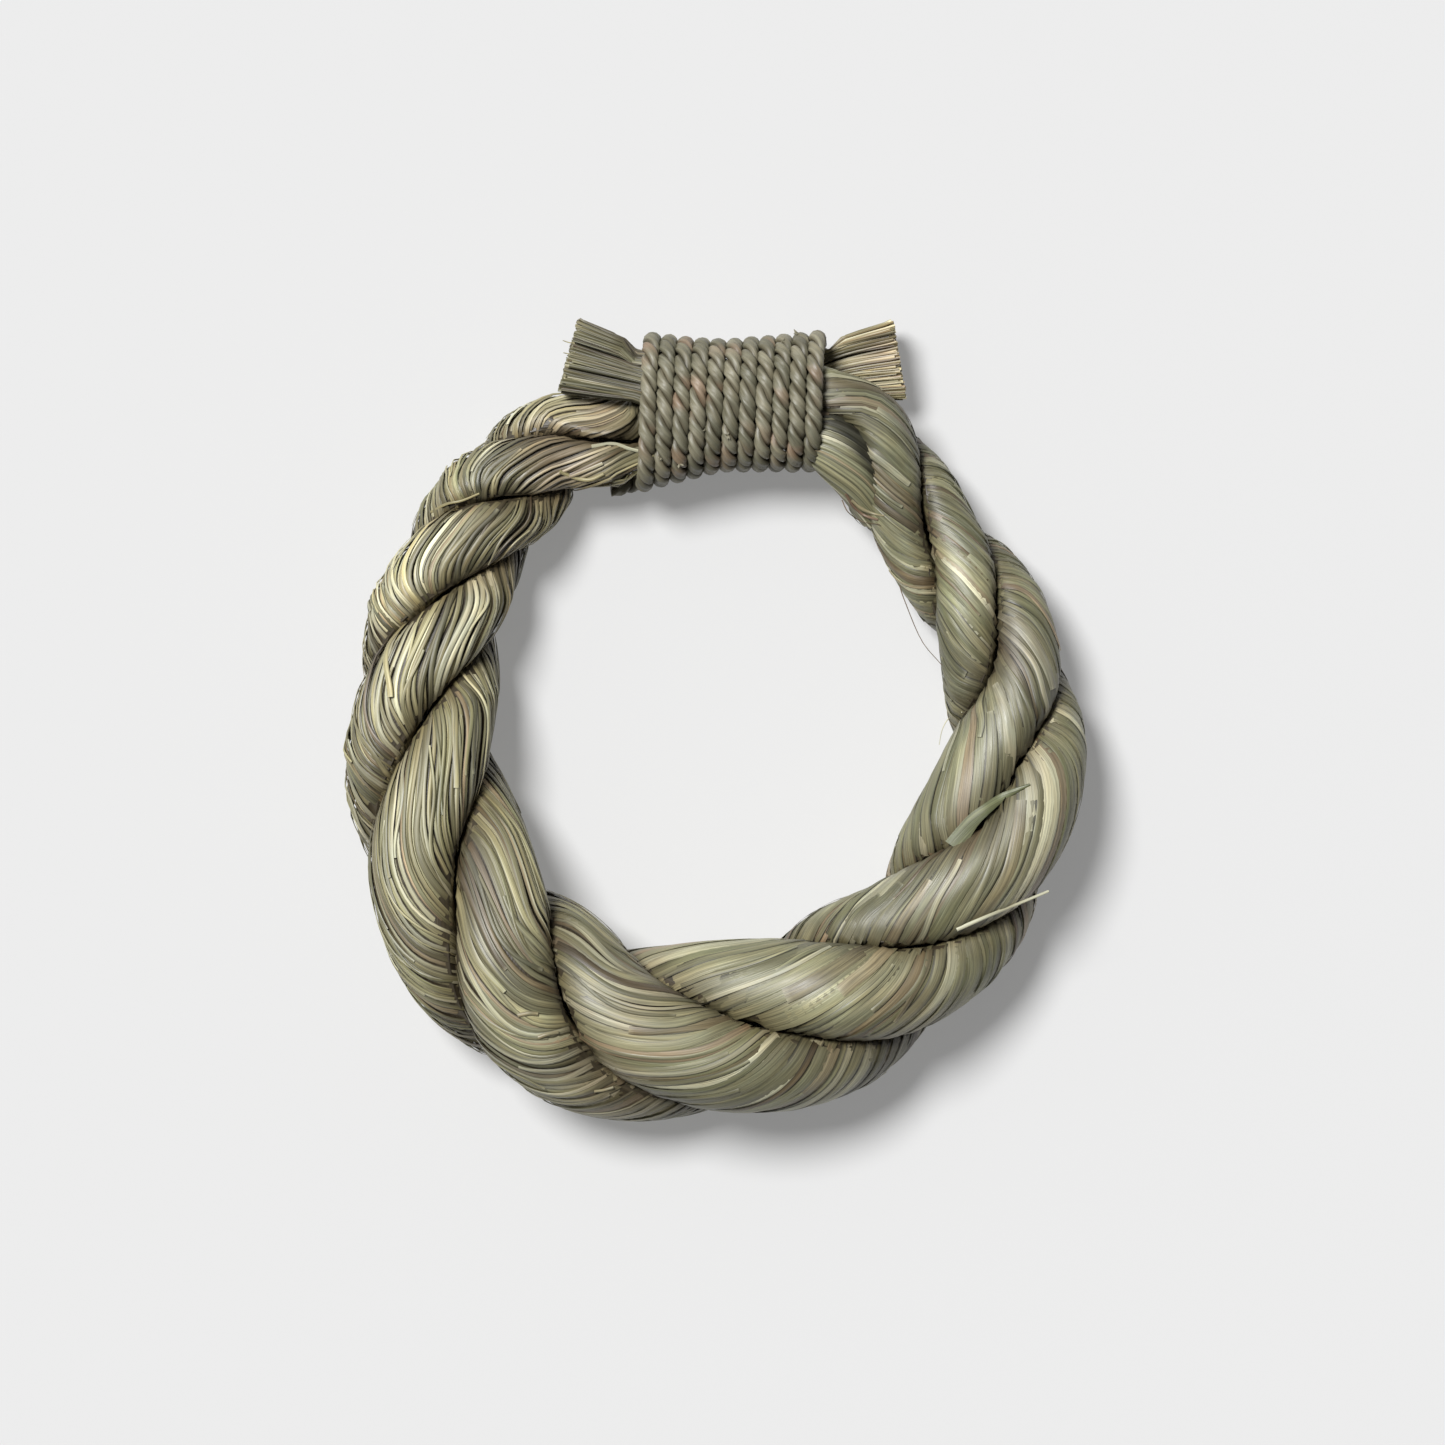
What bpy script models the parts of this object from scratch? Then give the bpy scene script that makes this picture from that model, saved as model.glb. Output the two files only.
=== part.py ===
"""Straw ring ornament, lying on its back.

Three straw strands, thick in the middle and thin at both ends, are laid into a rope. The rope is bent
into a ring, its two ends cross at the top, and eleven turns of straw cord bind them. Past the binding
the cut ends of the strands fan out as two tufts.

Metres, +Z up, +Y towards the binding. The origin is the middle of the underside's box.
"""

import math

import bmesh
import bpy
import numpy as np
from mathutils import Vector

# Driving sizes
RING_RADIUS = 0.108
ROPE_RADIUS = 0.0336
END_ROPE_RADIUS = 0.0170
CORD_DIAMETER = 0.00565
CORD_TURNS = 11
CORE_HALF_HEIGHT = 0.0182
CORE_HALF_DEPTH = 0.0170
LEFT_TUFT_LENGTH = 0.0262
RIGHT_TUFT_LENGTH = 0.0285
LEFT_TUFT_SPREAD = 0.0270
RIGHT_TUFT_SPREAD = 0.0290
NECK_HEIGHT = 0.0220
NECK_HALF_DEPTH = 0.0062
CLEARANCE = 0.0003
STRAND_GAP = 0.0012
FLAT_DEPTH = 0.0014

# The rope's lay: how far a strand's middle lies from the rope's line, in radii of the strand's face.
LAY_RATIO = 0.70
END_STRAND_RADIUS = END_ROPE_RADIUS / (1 + LAY_RATIO)
STRAND_COUNT = 3
LAY_STEP = 2 * math.pi / STRAND_COUNT
SIXTH = math.pi / 3

# The ring, read round it from the top by way of the left side:
# degrees, distance of the rope's line in ring radii, radius from END_ROPE_RADIUS (0) to ROPE_RADIUS (1).
RING_STATIONS = (
    (30, 1.087, 0.13),
    (54, 1.040, 0.32),
    (78, 0.990, 0.52),
    (102, 0.985, 0.72),
    (120, 1.015, 0.92),
    (138, 1.050, 1.00),
    (162, 1.045, 0.98),
    (186, 0.993, 0.97),
    (206, 0.975, 0.93),
    (222, 0.975, 0.72),
    (240, 0.965, 0.73),
    (258, 0.985, 0.70),
    (276, 0.985, 0.42),
    (294, 0.968, 0.30),
    (312, 0.957, 0.14),
    (330, 1.035, 0.16),
)
# Degrees round the ring at which the rope has turned by each further sixth of a turn.
LAY_ANGLES = (
    30.5, 39.5, 47.4, 58.3, 69.1, 81, 96, 111, 131, 145, 159,
    178, 198.5, 215.5, 230, 245, 270, 280.5, 295.5, 306.5, 320, 329,
)  # fmt: skip
LAY_AT_MOUTH = -math.pi / 6
RING_LAY = len(LAY_ANGLES) * SIXTH
KNOT_DEGREES = range(31, 330, 6)

# The binding's middle, and how its turns follow the bundle: share of the way along it from the left,
# rise of the bundle's middle in cord diameters, half height in core half heights.
TURN_PITCH = CORD_DIAMETER + CLEARANCE
BINDING_HALF = CORD_TURNS * TURN_PITCH / 2
BINDING_X = 0.0047
BINDING_Y = RING_RADIUS * 1.083
CORD_FIT = 0.0011
BINDING_Z = CORE_HALF_DEPTH + CORD_FIT + CORD_DIAMETER - FLAT_DEPTH / 2
BUNDLE_STATIONS = (
    (0.00, -0.38, 1.22),
    (0.20, -0.22, 1.08),
    (0.45, 0.00, 0.95),
    (0.75, 0.15, 0.98),
    (1.00, 0.28, 1.03),
)
BUNDLE_SQUARENESS = 2.5
# The cord's first turn starts this share of a turn in, and its tail comes to it through these points,
# in cord diameters from there.
FIRST_TURN = 0.18
TAIL = ((-2.1, -0.55, -0.55), (-1.5, -0.50, -0.60), (-0.95, -0.38, -0.58), (-0.40, -0.18, -0.42))
# Past the cord's ends the bundle opens again: cord diameters before it does, and how steeply.
MOUTH_START = 0.75
MOUTH_FLARE = 3.5
LAYER_DEPTH = CORE_HALF_DEPTH / 2

# How the line of each rope end rises through the binding, in core half heights over the binding's
# middle: before its own mouth, in it, past the other mouth and at the tuft's tip. FULLNESS is the
# rope's radius just before its own mouth, in radii of the rope's end.
LEFT_END_RISES = (-0.70, -0.69, 0.73, 0.93)
RIGHT_END_RISES = (-0.52, -0.16, 0.69, 0.99)
LEFT_END_FULLNESS = 1.0
RIGHT_END_FULLNESS = 1.15

# The surface between the two rope ends: level inside the binding, leaning past its mouths, where it
# crosses the level of the binding's middle at these rises, at the left mouth and at the right one.
PARTING_LEAN = math.radians(40)
PARTING_RISES = (0.24, 0.60)
TUFT_SQUARENESS = 3.5

# Mesh fineness. A section has FACE_CORNERS corners on each side of the middle of the strand's face.
# Sections follow each other by SECTION_STEP of a strand's radius: further apart where the strands lie
# in a row, closer where they turn into it.
STRAND_SIDES = 12
FACE_CORNERS = STRAND_SIDES // 2 - 1
SECTION_STEP = 0.66
ROW_COARSER = 0.25
TURNING_FINER = 3.0
POINTS_PER_TURN = 17
HALVINGS = 14

STRAW = (0.46, 0.45, 0.30)
CORD_STRAW = (0.38, 0.37, 0.26)

# What one knot of the rope holds
LINE = slice(0, 3)
TURN, ROW, SPACING, HALF_ACROSS, HALF_UP = range(3, 8)


def smooth_table(keys, rows, at):
    """Values of a smooth curve through the rows, at the places given along the keys."""
    keys = np.asarray(keys, float)
    rows = np.asarray(rows, float).reshape(len(keys), -1)
    steps = np.diff(keys)[:, None]
    slopes = np.diff(rows, axis=0) / steps
    inner = (slopes[:-1] * steps[1:] + slopes[1:] * steps[:-1]) / (steps[:-1] + steps[1:])
    tangents = np.vstack([slopes[:1], inner, slopes[-1:]])
    at = np.clip(np.asarray(at, float), keys[0], keys[-1])
    index = np.clip(np.searchsorted(keys, at, side="right") - 1, 0, len(keys) - 2)
    width = steps[index]
    t = (at - keys[index])[:, None] / width
    near = rows[index] * (1 + 2 * t) + tangents[index] * width * t
    far = rows[index + 1] * (3 - 2 * t) - tangents[index + 1] * width * (1 - t)
    return near * (1 - t) ** 2 + far * t**2


def laid(radius):
    """The spacing and half sizes of three strands laid into a rope."""
    return LAY_RATIO * radius, radius, radius


def ring_knots():
    """The knots of the rope round the ring: line, turn, row, spacing and half sizes of a strand."""
    angles = [row[0] for row in RING_STATIONS]
    turned = smooth_table(LAY_ANGLES, SIXTH * np.arange(len(LAY_ANGLES)), KNOT_DEGREES)[:, 0]
    table = smooth_table(angles, [row[1:] for row in RING_STATIONS], KNOT_DEGREES)
    knots = []
    for degrees, turn, (distance, fullness) in zip(KNOT_DEGREES, turned, table, strict=True):
        angle = math.radians(degrees)
        radius = (END_ROPE_RADIUS + fullness * (ROPE_RADIUS - END_ROPE_RADIUS)) / (1 + LAY_RATIO)
        height = radius * (LAY_RATIO + 1) - FLAT_DEPTH
        across, along = -math.sin(angle) * RING_RADIUS * distance, math.cos(angle) * RING_RADIUS * distance
        knots.append((across, along, height, turn, 0.0, *laid(radius)))
    return knots


def end_knots(side, lay, swelling, rises, tuft_length, tuft_spread):
    """The knots of one rope end, from its own mouth of the binding to the tuft past the other mouth.

    side is -1 where the rope comes in from the left, behind, and 1 from the right, in front.
    swelling is how much fuller the rope is just before the mouth than in it. rises are the heights of
    its line over the binding's middle, from before the mouth to the tuft's tip, in core half heights.
    """
    rises = [rise * CORE_HALF_HEIGHT for rise in rises]
    row = (CORE_HALF_HEIGHT * 2 / 3, CORE_HALF_HEIGHT * 0.38, LAYER_DEPTH)
    thinned = (CORE_HALF_HEIGHT * 0.52, CORE_HALF_HEIGHT * 0.30, LAYER_DEPTH * 0.95)
    squeezed = (NECK_HEIGHT * 0.30, NECK_HEIGHT * 0.15, NECK_HALF_DEPTH)
    neck = (NECK_HEIGHT / 3, NECK_HEIGHT / 6, NECK_HALF_DEPTH)
    tip = (tuft_spread / 3, tuft_spread / 6, NECK_HALF_DEPTH * 1.15)
    depth = side * LAYER_DEPTH
    # Share of the binding's half length, rise, height over the binding's middle, row, spacing and sizes.
    stages = (
        (1.35, rises[0], 0.15 * depth, 0.0, laid(END_STRAND_RADIUS * swelling)),
        (1.00, rises[1], 0.75 * depth, 0.4, laid(END_STRAND_RADIUS)),
        (0.55, rises[1] * 0.45, depth, 1.0, row),
        (0.00, 0.0, depth, 1.0, row),
        (-0.55, rises[2] * 0.6, depth, 1.0, thinned),
        (-1.00, rises[2] * 0.85, depth, 1.0, squeezed),
        (-1.20, rises[2], depth, 1.0, neck),
    )
    knots = [
        (BINDING_X + side * share * BINDING_HALF, BINDING_Y + rise, BINDING_Z + z, lay, flat, *sizes)
        for share, rise, z, flat, sizes in stages
    ]
    tip_x = BINDING_X - side * (BINDING_HALF + tuft_length)
    knots.append((tip_x, BINDING_Y + rises[3], BINDING_Z + 0.8 * depth, lay, 1.0, *tip))
    return knots


def rope_knots():
    """Every knot of the rope, from the right tuft round the ring to the left tuft."""
    left_tuft = (LEFT_TUFT_LENGTH, LEFT_TUFT_SPREAD)
    right_tuft = (RIGHT_TUFT_LENGTH, RIGHT_TUFT_SPREAD)
    left = end_knots(-1, LAY_AT_MOUTH, LEFT_END_FULLNESS, LEFT_END_RISES, *right_tuft)
    right = end_knots(1, LAY_AT_MOUTH + RING_LAY, RIGHT_END_FULLNESS, RIGHT_END_RISES, *left_tuft)
    return np.array(left[::-1] + ring_knots() + right)


def rope_sections():
    """The rope's state at close steps that follow the strand's thickness, and each one's direction out."""
    knots = rope_knots()
    keys = np.concatenate([[0], np.cumsum(np.linalg.norm(np.diff(knots[:, LINE], axis=0), axis=1))])
    places = [0.0]
    while places[-1] < keys[-1]:
        radius, row = (np.interp(places[-1], keys, knots[:, column]) for column in (HALF_UP, ROW))
        coarseness = 1 + ROW_COARSER * row - TURNING_FINER * row * (1 - row)
        places.append(places[-1] + SECTION_STEP * coarseness * max(radius, END_STRAND_RADIUS))
    places[-1] = keys[-1]
    states = smooth_table(keys, knots, places)
    travel = np.gradient(states[:, :2], axis=0)
    travel /= np.linalg.norm(travel, axis=1)[:, None]
    outward = np.stack([travel[:, 1], -travel[:, 0], np.zeros(len(travel))], axis=1)
    slope = np.abs(np.gradient(states[:, TURN]) / np.gradient(places)) * states[:, SPACING]
    layers = np.where(np.array(places) < keys[-1] / 2, -1, 1)
    return list(zip(states, outward, np.hypot(1, slope), layers, strict=True))


def strand_place(state, number):
    """Where one strand's middle lies in the rope's section, and the direction it is turned to."""
    turned = 2 * SIXTH + LAY_STEP * number - state[TURN]
    row = min(max(state[ROW], 0.0), 1.0)
    across = math.cos(turned)
    in_row = 0.0 if abs(across) < 0.3 else math.copysign(1.0, across)
    place = np.array([(1 - row) * across + row * in_row, (1 - row) * math.sin(turned)])
    return place * state[SPACING], turned


def reach(state, turned, stretch, direction):
    """How far a strand's surface lies from its middle in one direction, before its neighbours press it."""
    row = min(max(state[ROW], 0.0), 1.0)
    radius = state[HALF_UP]
    laid = radius / math.hypot(math.cos(direction - turned), math.sin(direction - turned) / stretch)
    across = abs(math.cos(direction) / state[HALF_ACROSS])
    up = abs(math.sin(direction) / state[HALF_UP])
    flat = (across**TUFT_SQUARENESS + up**TUFT_SQUARENESS) ** (-1 / TUFT_SQUARENESS)
    return (1 - row) * laid + row * flat


def bundle_at(x):
    """The middle and the half height of the bundle inside the cord, at a place along the binding."""
    share = (x - BINDING_X) / (2 * BINDING_HALF) + 0.5
    keys = [row[0] for row in BUNDLE_STATIONS]
    rise, height = smooth_table(keys, [row[1:] for row in BUNDLE_STATIONS], [share])[0]
    return BINDING_Y + rise * CORD_DIAMETER, height * CORE_HALF_HEIGHT


def fits_binding(point, layer):
    """Whether a point of a rope end keeps inside the cord's turns and on its own side of the parting."""
    offset = point[0] - BINDING_X
    lean = -PARTING_LEAN * min(max(offset / BINDING_HALF, -1), 1)
    rise = np.interp(offset, (-BINDING_HALF, BINDING_HALF), PARTING_RISES)
    crossing = BINDING_Y + rise * CORE_HALF_HEIGHT
    over = (point[1] - crossing) * math.sin(lean) + (point[2] - BINDING_Z) * math.cos(lean)
    middle, half_height = bundle_at(point[0])
    flare = max(0.0, abs(offset) - BINDING_HALF - MOUTH_START * CORD_DIAMETER) * MOUTH_FLARE
    across = abs(point[1] - middle) / (half_height + flare)
    up = abs(point[2] - BINDING_Z) / (CORE_HALF_DEPTH + flare)
    return layer * over >= CLEARANCE / 2 and across**BUNDLE_SQUARENESS + up**BUNDLE_SQUARENESS <= 1


def gap_at(state):
    """The gap between neighbouring strands: narrower once they lie in a row."""
    return STRAND_GAP + min(max(state[ROW], 0.0), 1.0) ** 4 * (CLEARANCE - STRAND_GAP)


def corner_step(state, stretch):
    """Angle between the corners of a strand's section.

    Where the strands are laid, the outermost two of the corners on the strand's face are the edges
    where it meets its neighbours, and the last corner lies near the rope's line. In a row of strands
    the corners are even.
    """
    row = min(max(state[ROW], 0.0), 1.0)
    wall = (math.sqrt(3) * state[SPACING] - gap_at(state)) / (2 * state[HALF_UP])
    inward, across = math.cos(SIXTH / 2), math.sin(SIXTH / 2) * stretch
    seam = math.atan2(inward, across) + math.asin(min(wall / math.hypot(inward, across), 1.0))
    seam = math.atan2(stretch * math.sin(seam), math.cos(seam))
    return (1 - row) * seam / FACE_CORNERS + row * 2 * math.pi / STRAND_SIDES


def fits(section, number, point, flat_point):
    """Whether a point of a strand stays clear of the other strands and of the binding."""
    state, _, _, layer = section
    own = strand_place(state, number)[0]
    gap = gap_at(state)
    for other in range(STRAND_COUNT):
        if other != number:
            apart = strand_place(state, other)[0] - own
            distance = np.linalg.norm(apart)
            if (flat_point - own) @ apart / distance > (distance - gap) / 2:
                return False
    beside = abs(state[0] - BINDING_X) < BINDING_HALF + RIGHT_TUFT_LENGTH + END_STRAND_RADIUS
    return not beside or state[1] < 0 or fits_binding(point, layer)


def strand_ring(section, number):
    """One ring of a strand's points in the rope's section, pressed by its neighbours and the floor."""
    state, outward, stretch, _ = section
    own, turned = strand_place(state, number)

    def in_space(flat_point):
        return state[LINE] + flat_point[0] * outward + np.array([0, 0, flat_point[1]])

    ring = []
    step = corner_step(state, stretch)
    for corner in range(-FACE_CORNERS, FACE_CORNERS + 2):
        direction = turned + (corner * step if corner <= FACE_CORNERS else math.pi)
        arm = np.array([math.cos(direction), math.sin(direction)]) * reach(state, turned, stretch, direction)
        near, far = 0.0, 2.0
        for _ in range(HALVINGS):
            share = min((near + far) / 2, 1.0)
            if fits(section, number, in_space(own + share * arm), own + share * arm):
                near = (near + far) / 2
            else:
                far = (near + far) / 2
        point = in_space(own + min(near, 1.0) * arm)
        ring.append((point[0], point[1], max(point[2], 0.0)))
    return ring


def loft(name, rings):
    """One closed body through rings of equally many points, the last one between two flanks.

    Flanks that face each other are split along the same diagonal, so that they stay a gap apart.
    """
    shape = bmesh.new()
    levels = [[shape.verts.new(point) for point in ring] for ring in rings]
    count = len(levels[0])
    for near, far in zip(levels, levels[1:], strict=False):
        for corner in range(count - 2):
            shape.faces.new((near[corner], near[corner + 1], far[corner + 1], far[corner]))
        seam, inner, other_seam = count - 2, count - 1, 0
        shape.faces.new((near[seam], near[inner], far[inner]))
        shape.faces.new((near[seam], far[inner], far[seam]))
        shape.faces.new((near[inner], near[other_seam], far[inner]))
        shape.faces.new((near[other_seam], far[other_seam], far[inner]))
    shape.faces.new(levels[0][::-1])
    shape.faces.new(levels[-1])
    bmesh.ops.recalc_face_normals(shape, faces=shape.faces)
    bmesh.ops.triangulate(shape, faces=shape.faces)
    mesh = bpy.data.meshes.new(name)
    shape.to_mesh(mesh)
    shape.free()
    mesh.shade_smooth()
    mesh.set_sharp_from_angle(angle=math.radians(50))
    return bpy.data.objects.new(name, mesh)


def cord_loop_point(x, angle):
    """A point of the cord's line round the bundle."""
    radius = CORD_FIT + CORD_DIAMETER / 2
    middle, half_height = bundle_at(x)
    power = 2 / BUNDLE_SQUARENESS
    across = math.copysign(abs(math.cos(angle)) ** power, math.cos(angle)) * (half_height + radius)
    up = math.copysign(abs(math.sin(angle)) ** power, math.sin(angle)) * (CORE_HALF_DEPTH + radius)
    return x, middle + across, BINDING_Z + up


def cord_points():
    """The cord's line: its tail beside the left mouth, then the turns, ending behind the bundle."""
    steps = np.linspace(FIRST_TURN, CORD_TURNS, round((CORD_TURNS - FIRST_TURN) * POINTS_PER_TURN) + 1)
    start = BINDING_X - BINDING_HALF
    turns = [cord_loop_point(start + step * TURN_PITCH, -math.pi / 2 - 2 * math.pi * step) for step in steps]
    x, y, z = turns[0]
    tail = [(x + a * CORD_DIAMETER, y + b * CORD_DIAMETER, z + c * CORD_DIAMETER) for a, b, c in TAIL]
    return tail + turns


def binding_cord():
    """The cord as one round tube, its underside pressed flat where it rests."""
    curve = bpy.data.curves.new("cord_line", "CURVE")
    curve.dimensions = "3D"
    curve.bevel_depth = CORD_DIAMETER / 2
    curve.bevel_resolution = 2
    curve.use_fill_caps = True
    points = cord_points()
    spline = curve.splines.new("POLY")
    spline.points.add(len(points) - 1)
    for target, point in zip(spline.points, points, strict=True):
        target.co = (*point, 1.0)
    guide = bpy.data.objects.new("cord_line", curve)
    bpy.context.scene.collection.objects.link(guide)
    mesh = bpy.data.meshes.new_from_object(guide.evaluated_get(bpy.context.evaluated_depsgraph_get()))
    bpy.data.objects.remove(guide)
    shape = bmesh.new()
    shape.from_mesh(mesh)
    bmesh.ops.remove_doubles(shape, verts=shape.verts, dist=1e-6)
    for vertex in shape.verts:
        vertex.co.z = max(vertex.co.z, 0.0)
    shape.to_mesh(mesh)
    shape.free()
    mesh.name = "binding_cord"
    mesh.shade_smooth()
    return bpy.data.objects.new("binding_cord", mesh)


def material(name, colour, roughness):
    made = bpy.data.materials.new(name)
    made.use_nodes = True
    shader = made.node_tree.nodes["Principled BSDF"]
    shader.inputs["Base Color"].default_value = (*colour, 1.0)
    shader.inputs["Roughness"].default_value = roughness
    shader.inputs["Metallic"].default_value = 0.0
    return made


def centre_on_origin(objects):
    """Moves the pieces so that the origin is the middle of their common underside."""
    corners = np.array([vertex.co for obj in objects for vertex in obj.data.vertices])
    low, high = corners.min(axis=0), corners.max(axis=0)
    shift = Vector((-(low[0] + high[0]) / 2, -(low[1] + high[1]) / 2, -low[2]))
    for obj in objects:
        obj.location = shift


def main():
    for obj in list(bpy.data.objects):
        bpy.data.objects.remove(obj)
    collection = bpy.data.collections.new("straw_ring")
    bpy.context.scene.collection.children.link(collection)
    sections = rope_sections()
    pieces = []
    for number in range(STRAND_COUNT):
        strand = loft(f"strand_{number + 1}", [strand_ring(section, number) for section in sections])
        strand.data.materials.append(material(f"straw_{number + 1}", STRAW, 0.55))
        pieces.append(strand)
    cord = binding_cord()
    cord.data.materials.append(material("cord_straw", CORD_STRAW, 0.6))
    pieces.append(cord)
    for piece in pieces:
        collection.objects.link(piece)
    centre_on_origin(pieces)


main()
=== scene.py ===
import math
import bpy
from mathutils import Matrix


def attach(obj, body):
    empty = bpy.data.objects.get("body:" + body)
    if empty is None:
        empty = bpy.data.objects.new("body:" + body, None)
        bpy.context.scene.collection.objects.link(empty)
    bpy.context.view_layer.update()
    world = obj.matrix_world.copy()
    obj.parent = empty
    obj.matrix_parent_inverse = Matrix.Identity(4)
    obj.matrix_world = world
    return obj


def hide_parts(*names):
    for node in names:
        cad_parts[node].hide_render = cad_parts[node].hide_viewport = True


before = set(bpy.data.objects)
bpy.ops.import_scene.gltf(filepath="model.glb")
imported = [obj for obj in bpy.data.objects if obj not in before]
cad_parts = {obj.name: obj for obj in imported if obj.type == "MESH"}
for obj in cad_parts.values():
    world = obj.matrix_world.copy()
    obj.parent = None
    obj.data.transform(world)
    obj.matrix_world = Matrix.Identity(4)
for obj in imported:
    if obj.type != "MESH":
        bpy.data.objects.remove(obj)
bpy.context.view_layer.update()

# Looks of the straw ring. Every strand of the rope is dressed in single straws that wind round it, the
# cut ends fan out as tufts, and the binding is a cord of two twisted plies. The rope's line, its lay and
# the binding are the part's own, in metres, so each piece lies where its solid is.

from types import SimpleNamespace

import bpy
import numpy as np
from mathutils import Vector
from mathutils.bvhtree import BVHTree

MM = 0.001
DEGREE = math.pi / 180

# Sizes of the part
RING_RADIUS = 0.108
ROPE_RADIUS = 0.0336
END_ROPE_RADIUS = 0.0170
CORD_DIAMETER = 0.00565
CORD_TURNS = 11
CORE_HALF_HEIGHT = 0.0182
CORE_HALF_DEPTH = 0.0170
LEFT_TUFT = (0.0262, 0.0270)
RIGHT_TUFT = (0.0285, 0.0290)
NECK_HEIGHT = 0.0220
NECK_HALF_DEPTH = 0.0062
CLEARANCE = 0.0003
FLAT_DEPTH = 0.0014
LAY_RATIO = 0.70
END_STRAND_RADIUS = END_ROPE_RADIUS / (1 + LAY_RATIO)
STRAND_COUNT = 3
LAY_STEP = 2 * math.pi / STRAND_COUNT
SIXTH = math.pi / 3
RING_STATIONS = (
    (30, 1.087, 0.13),
    (54, 1.040, 0.32),
    (78, 0.990, 0.52),
    (102, 0.985, 0.72),
    (120, 1.015, 0.92),
    (138, 1.050, 1.00),
    (162, 1.045, 0.98),
    (186, 0.993, 0.97),
    (206, 0.975, 0.93),
    (222, 0.975, 0.72),
    (240, 0.965, 0.73),
    (258, 0.985, 0.70),
    (276, 0.985, 0.42),
    (294, 0.968, 0.30),
    (312, 0.957, 0.14),
    (330, 1.035, 0.16),
)
LAY_ANGLES = (
    30.5, 39.5, 47.4, 58.3, 69.1, 81, 96, 111, 131, 145, 159,
    178, 198.5, 215.5, 230, 245, 270, 280.5, 295.5, 306.5, 320, 329,
)
LAY_AT_MOUTH = -math.pi / 6
RING_LAY = len(LAY_ANGLES) * SIXTH
KNOT_DEGREES = range(31, 330, 6)
TURN_PITCH = CORD_DIAMETER + CLEARANCE
BINDING_HALF = CORD_TURNS * TURN_PITCH / 2
BINDING_X = 0.0047
BINDING_Y = RING_RADIUS * 1.083
CORD_FIT = 0.0011
BINDING_Z = CORE_HALF_DEPTH + CORD_FIT + CORD_DIAMETER - FLAT_DEPTH / 2
BUNDLE_STATIONS = (
    (0.00, -0.38, 1.22),
    (0.20, -0.22, 1.08),
    (0.45, 0.00, 0.95),
    (0.75, 0.15, 0.98),
    (1.00, 0.28, 1.03),
)
BUNDLE_SQUARENESS = 2.5
FIRST_TURN = 0.18
TAIL = ((-2.1, -0.55, -0.55), (-1.5, -0.50, -0.60), (-0.95, -0.38, -0.58), (-0.40, -0.18, -0.42))
MOUTH_START = 0.75
MOUTH_FLARE = 3.5
LAYER_DEPTH = CORE_HALF_DEPTH / 2
LEFT_END_RISES = (-0.70, -0.69, 0.73, 0.93)
RIGHT_END_RISES = (-0.52, -0.16, 0.69, 0.99)
LEFT_END_FULLNESS = 1.0
RIGHT_END_FULLNESS = 1.15
PARTING_LEAN = math.radians(40)
PARTING_RISES = (0.24, 0.60)
TUFT_SQUARENESS = 3.5
PART_SHIFT = np.array([0.000508, -0.003827, 0.0])

# Columns of the rope's knots
LINE = slice(0, 3)
TURN, ROW, SPACING, HALF_ACROSS, HALF_UP = range(3, 8)

# The photograph: metres a pixel, the ring's middle in it and its side
PIXEL = 0.00036
MIDDLE_PIXEL = (718, 730)
PHOTO_SIDE = 1445

# How the straws lie round the ring: degrees from the top by way of the left, twist of the straws in
# the rope's own turn on the middle of a strand's face, how much more at both its edges, how much more
# at its outer edge alone, width of a straw in millimetres, share of yellow straws, sharpness of folds,
# and the least slope of a straw across its strand
STRAW_STATIONS = (
    (0, 0.45, 1.30, 0.60, 2.0, 0.55, 0.2, 0.35),
    (35, 0.45, 1.30, 0.60, 2.2, 0.45, 0.6, 0.75),
    (50, 0.45, 1.40, 0.60, 2.2, 0.50, 1.0, 0.95),
    (62, 0.45, 1.50, 0.65, 2.1, 0.65, 1.0, 0.80),
    (95, 0.32, 1.10, 0.45, 2.1, 0.55, 1.0, 0.40),
    (137, 0.50, 0.30, 0.70, 2.6, 0.40, 0.8, 0.40),
    (165, 0.80, 0.20, 0.70, 3.4, 0.28, 0.3, 0.40),
    (190, 1.00, 0.20, 0.60, 4.9, 0.20, 0.0, 0.40),
    (228, 0.80, 0.70, 0.45, 5.0, 0.18, 0.0, 0.40),
    (270, 0.75, 1.30, 0.40, 4.5, 0.15, 0.0, 0.40),
    (300, 0.95, 1.00, 0.00, 3.6, 0.15, 0.0, 0.50),
    (330, 1.05, 0.90, -0.20, 3.2, 0.15, 0.0, 0.60),
    (360, 0.80, 0.80, -0.20, 3.0, 0.15, 0.0, 0.40),
)
MIDDLE_TWIST, EDGE_TWIST, OUTER_TWIST, WIDTH, YELLOW_SHARE, FOLDS, LEAST_SLOPE = range(7)

# The layers of straws on a strand: straws over the width of one, ranges of the width of wide and of
# narrow straws against the strand's own, ranges of their heights in millimetres, how loosely they lie
# in degrees, and the share of them that are cut short
STRAW_LAYERS = (
    (1.00, ((1.15, 1.60), (0.65, 1.05)), ((-0.30, 0.00), (-0.80, 0.00)), 5, 0.0),
    (0.80, ((0.30, 1.20), (0.35, 1.20)), ((0.05, 0.35), (0.10, 0.70)), 16, 0.3),
    (0.15, ((0.25, 0.60), (0.50, 1.30)), ((0.30, 0.50), (0.60, 1.00)), 26, 0.8),
)

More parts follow.
